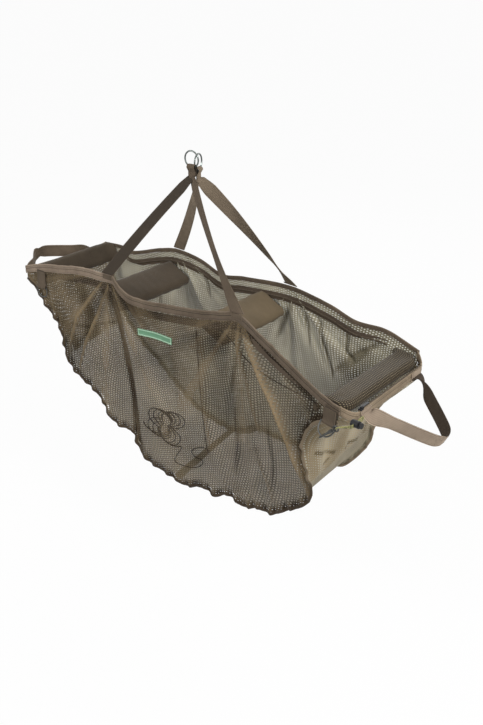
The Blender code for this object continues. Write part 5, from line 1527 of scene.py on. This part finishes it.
def retention_points():
    """The long cord: from its knot down into the bag, over the base and round the hank."""
    hank = hank_points()
    lead = (hank[0] - hank[1]).normalized()
    floor = [Vector((x, y, floor_height(x, y))) for x, y in CORD_ON_BASE]
    route = [Vector(p) for p in CORD_ROUTE] + floor + [hank[0] + lead * HANK_LEAD, hank[0]]
    run = straight_ends(resample(route, CORD_STEPS), CORD_RADIUS)
    for point in run[:-3]:
        if point.x < CORD_ON_BASE[0][0] + FLOOR_EASE or point.z < CORD_LOW:
            point.z = max(point.z, floor_height(point.x, point.y))
    return run[:-2] + hank


# Small cloth pieces

ANCHOR_REACH, ANCHOR_INSET, ANCHOR_STEPS = 0.013, 0.4, 8
ANCHOR_OUTLINE = ((0, 0.006), (0.0035, 0.0063), (0.009, 0.0058), (0.012, 0.004))  # out, rise
LABEL_STEPS, LABEL_ROWS = 40, 8
LABEL_THICK, LABEL_RIPPLE, LABEL_CURL = 0.0009, 0.0004, 0.0006
LABEL_LEFT_SAG, LABEL_RIGHT_RISE = 0.010, 0.003
CROSS_TAPE_X, CROSS_TAPE_END, CROSS_TAPE_STEPS = -0.012, 0.97, 40
CROSS_TAPE_GAP, CROSS_TAPE_THICK, CROSS_TAPE_HALF = 0.002, 0.0011, 0.15


def anchor_piece(finish):
    """A small folded tab inside the front wall that holds the cord's knot."""
    start_x, _, start_z = CORD_ROUTE[0]
    outline = [*ANCHOR_OUTLINE, *[(out, -rise) for out, rise in reversed(ANCHOR_OUTLINE)]]
    rows = []
    for more in even(CORD_RADIUS * ANCHOR_INSET, ANCHOR_REACH, ANCHOR_STEPS):
        x = start_x + more
        rows.append([(wall(-1, x, start_z + rise, -OFF_FABRIC - out), (x, rise)) for out, rise in outline])
    return swept("cord_tab", rows, finish)


def label_piece(finish):
    """The tag, sewn on level at its top and curling a little below."""
    outs = [LABEL_THICK + LABEL_RIPPLE * math.sin(k) for k in range(LABEL_ROWS + 1)]
    drops = even(0, LABEL_HEIGHT, LABEL_ROWS)
    outline = [*zip(outs, drops), *[(0, drop) for drop in reversed(drops)]]
    rows = []
    for f in even(0, 1, LABEL_STEPS):
        x = LABEL[0] + (LABEL[1] - LABEL[0]) * f
        top = LABEL_TOP - LABEL_DROOP * f * f - LABEL_LEFT_SAG * (1 - f) ** 1.5 + LABEL_RIGHT_RISE * f
        near = OFF_FABRIC + LABEL_CURL * math.sin(f * 9)
        rows.append([(wall(-1, x, top - drop, near + o), (x - LABEL[0], drop)) for o, drop in outline])
    return swept("label", rows, finish)


def cross_tape_piece(finish):
    """A tape across the underside of the base."""
    step = min(range(SEAM_STEPS - 1), key=lambda i: abs(SEAM[1][i].x - CROSS_TAPE_X))
    rows = []
    for v in even(-CROSS_TAPE_END, CROSS_TAPE_END, CROSS_TAPE_STEPS):
        low, high = gusset_point(step - 2, v), gusset_point(step + 2, v)
        down = Vector((0, 1, 0)).cross(high - low).normalized()
        near = down * (OFF_FABRIC + CROSS_TAPE_GAP)
        far = near + down * CROSS_TAPE_THICK
        width = (high - low).length
        row = []
        for lay, shares in ((near, (0, 0.5, 1)), (far, (1, 0.5, 0))):
            row += [(low.lerp(high, at) + lay, (v * CROSS_TAPE_HALF, (at - 0.5) * width)) for at in shares]
        rows.append(row)
    return swept("base_tape", rows, finish)


# The bag

stand_for(wall_piece(-1, "front_wall", FRONT_NET), "sling", "mesh", "front_panel")
stand_for(wall_piece(1, "back_wall", BACK_NET), "sling", "mesh", "back_panel")
stand_for(base_piece(BASE_NET), "sling", "mesh", "base_panel")
stand_for(end_piece(-1, "left_end", SHADED_LEFT_END_NET), "sling", "mesh", "left_end_panel")
stand_for(end_piece(1, "right_end", END_NET), "sling", "mesh", "right_end_panel")
for side, word in ((-1, "front"), (1, "back")):
    piece = seam_piece(side, f"{word}_seam_binding", SEAM_CLOTH)
    stand_for(piece, "sling", "binding", f"{word}_seam_tape")
stand_for(cross_tape_piece(SEAM_CLOTH), "sling", "binding", "base_cross_tape")

# The mouth

BACK_BAND_THINNING = 0.0002
TAPE_OUT = -FABRIC / 2 - GAP
TAPE_IN = TAPE_OUT - TAPE_THICK
TAPE_TAPER = 0.12
front_outline = band_outline(FRONT_BAND_HEIGHT, BAND_THICK / 2)
back_outline = band_outline(BACK_BAND_HEIGHT, BAND_THICK / 2 - BACK_BAND_THINNING)
piece = along_rim(-1, "front_band", front_outline, FRONT_BAND, uneven=0.0009)
stand_for(piece, "sling", "binding", "front_rim_band")
piece = along_rim(1, "back_band", back_outline, BACK_BAND, uneven=0.0002, seed=2.0)
stand_for(piece, "sling", "binding", "back_rim_band")
for end, word in ((-1, "left"), (1, "right")):
    piece = along_end(end, f"{word}_band", front_outline, END_BAND)
    stand_for(piece, "sling", "binding", f"{word}_end_band")
tape = flat_outline(TAPE_IN, TAPE_OUT, TAPE_DROP, TAPE_HEIGHT)
coil = coil_outline(TAPE_IN - GAP - COIL_THICK, TAPE_IN - GAP, TAPE_DROP + TAPE_HEIGHT / 2)
for side, word in ((-1, "front"), (1, "back")):
    piece = along_rim(side, f"{word}_zip_tape", tape, TAPE_CLOTH, TAPE_END, taper=TAPE_TAPER)
    stand_for(piece, "sling", "zip_tape", f"{word}_inner_tape")
    piece = along_rim(side, f"{word}_zip_coil", coil, COIL, TAPE_END)
    stand_for(piece, "sling", "zip_coil", f"{word}_inner_coil")
stand_for(end_coil_piece(COIL), "sling", "zip_coil", "right_end_zip_coil")

# Floats

ON_COIL = FABRIC / 2 + GAP + TAPE_THICK + COIL_THICK + GAP
FLOAT_BOW = END_BULGE * END_FLOAT_BOW
END_SIZE, CROSS_SIZE = (END_FLOAT_WIDTH, END_FLOAT_THICK), (CROSS_FLOAT_WIDTH, CROSS_FLOAT_THICK)
for name, node, middle, size, tilt, stop, bow, finish in (
    ("right_float", "right_end_float", RIGHT_FLOAT, END_SIZE, 4.0, CLEAR_OF_BAND, FLOAT_BOW, DOTTED),
    ("left_float", "left_end_float", LEFT_FLOAT, END_SIZE, 60.0, CLEAR_OF_BAND, -FLOAT_BOW, PLAIN_COVER),
    ("left_bar", "left_cross_float", LEFT_CROSS_FLOAT, CROSS_SIZE, 24.0, ON_COIL, 0.0, PLAIN_COVER),
    ("right_bar", "right_cross_float", RIGHT_CROSS_FLOAT, CROSS_SIZE, 24.0, ON_COIL, 0.0, PALE_COVER),
):
    piece = float_piece(name, middle, *size, tilt, stop, bow, finish, seed=len(node))
    stand_for(piece, "sling", "float_cover", node)

# Webbing

for side, word, ring, turn, twists, finish in (
    (-1, "front", FRONT_RING, FRONT_RING_TURN, FRONT_TWISTS, STRAP_WEBBING),
    (1, "back", BACK_RING, BACK_RING_TURN, BACK_TWISTS, BACK_STRAP_WEBBING),
):
    piece = ribbon(f"{word}_webbing", strap_stations(side, ring, turn, twists), STRAP_THICK, finish, -side)
    stand_for(piece, f"{word}_strap", "webbing", f"{word}_strap")
    for end, hand in ((-1, "left"), (1, "right")):
        piece = patch_piece(side, end, f"{word}_{hand}_sewn_end", STRAP_WEBBING)
        stand_for(piece, "sling", "webbing", f"{word}_{hand}_strap_patch")
# The left handle takes the darker strap webbing as painted shade; the right handle is painted shade past y
# 0, on its far leg.
for end, word, reach, droop, finish, shaded in (
    (-1, "left", LEFT_HANDLE_REACH, LEFT_HANDLE_DROOP, STRAP_WEBBING, None),
    (1, "right", RIGHT_HANDLE_REACH, RIGHT_HANDLE_DROOP, HANDLE_WEBBING, 0.0),
):
    stations = handle_stations(end, reach, droop)
    piece = ribbon(f"{word}_carry_handle", stations, HANDLE_THICK, finish, -end, shaded_beyond=shaded)
    stand_for(piece, f"{word}_handle", "webbing", f"{word}_handle")
    for side, hand in ((-1, "front"), (1, "back")):
        piece = handle_patch_piece(end, side, f"{word}_{hand}_handle_end", HANDLE_WEBBING)
        stand_for(piece, "sling", "webbing", f"{word}_handle_{hand}_patch")
for place, word, share in ((LEFT_TAB, "left", 0.8), (RIGHT_TAB, "right", 0.6)):
    piece = ribbon(f"{word}_tab", tab_stations(place, FRONT_BAND_HEIGHT * share), HANDLE_THICK, TAB_WEBBING)
    stand_for(piece, "sling", "webbing", f"{word}_ring_tab")

# Label and cords

stand_for(label_piece(LABEL_CLOTH), "sling", "label_cloth", "label_tag")
stand_for(anchor_piece(ANCHOR_CLOTH), "sling", "webbing", "cord_anchor")
points = retention_points()
cord = cord_piece("long_cord", points, CORD_RADIUS, CORD_FIBRE)
stand_for(cord, "sling", "cord_fibre", "retention_cord", "cord_hank")
runs(points)[-1]
points = lanyard_points()
cord = cord_piece("camo_loop", points, CAMO_RADIUS, CAMO_FIBRE)
stand_for(cord, "clip_eye", "camo_fibre", "clip_lanyard")
runs(points)[-1]

# Metal and plastic, kept from the solid model

for finish, nodes in (
    (BRIGHT_STEEL, ("front_ring", "back_ring")),
    (RING_STEEL, ("left_d_ring", "right_d_ring")),
    (GUNMETAL, ("snap_clip", "clip_gate", "clip_eye")),
    (PLASTIC, ("cord_lock", "cord_lock_button", "zip_slider", "zip_puller")),
):
    for node in nodes:
        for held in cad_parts[node].material_slots:
            held.material = finish
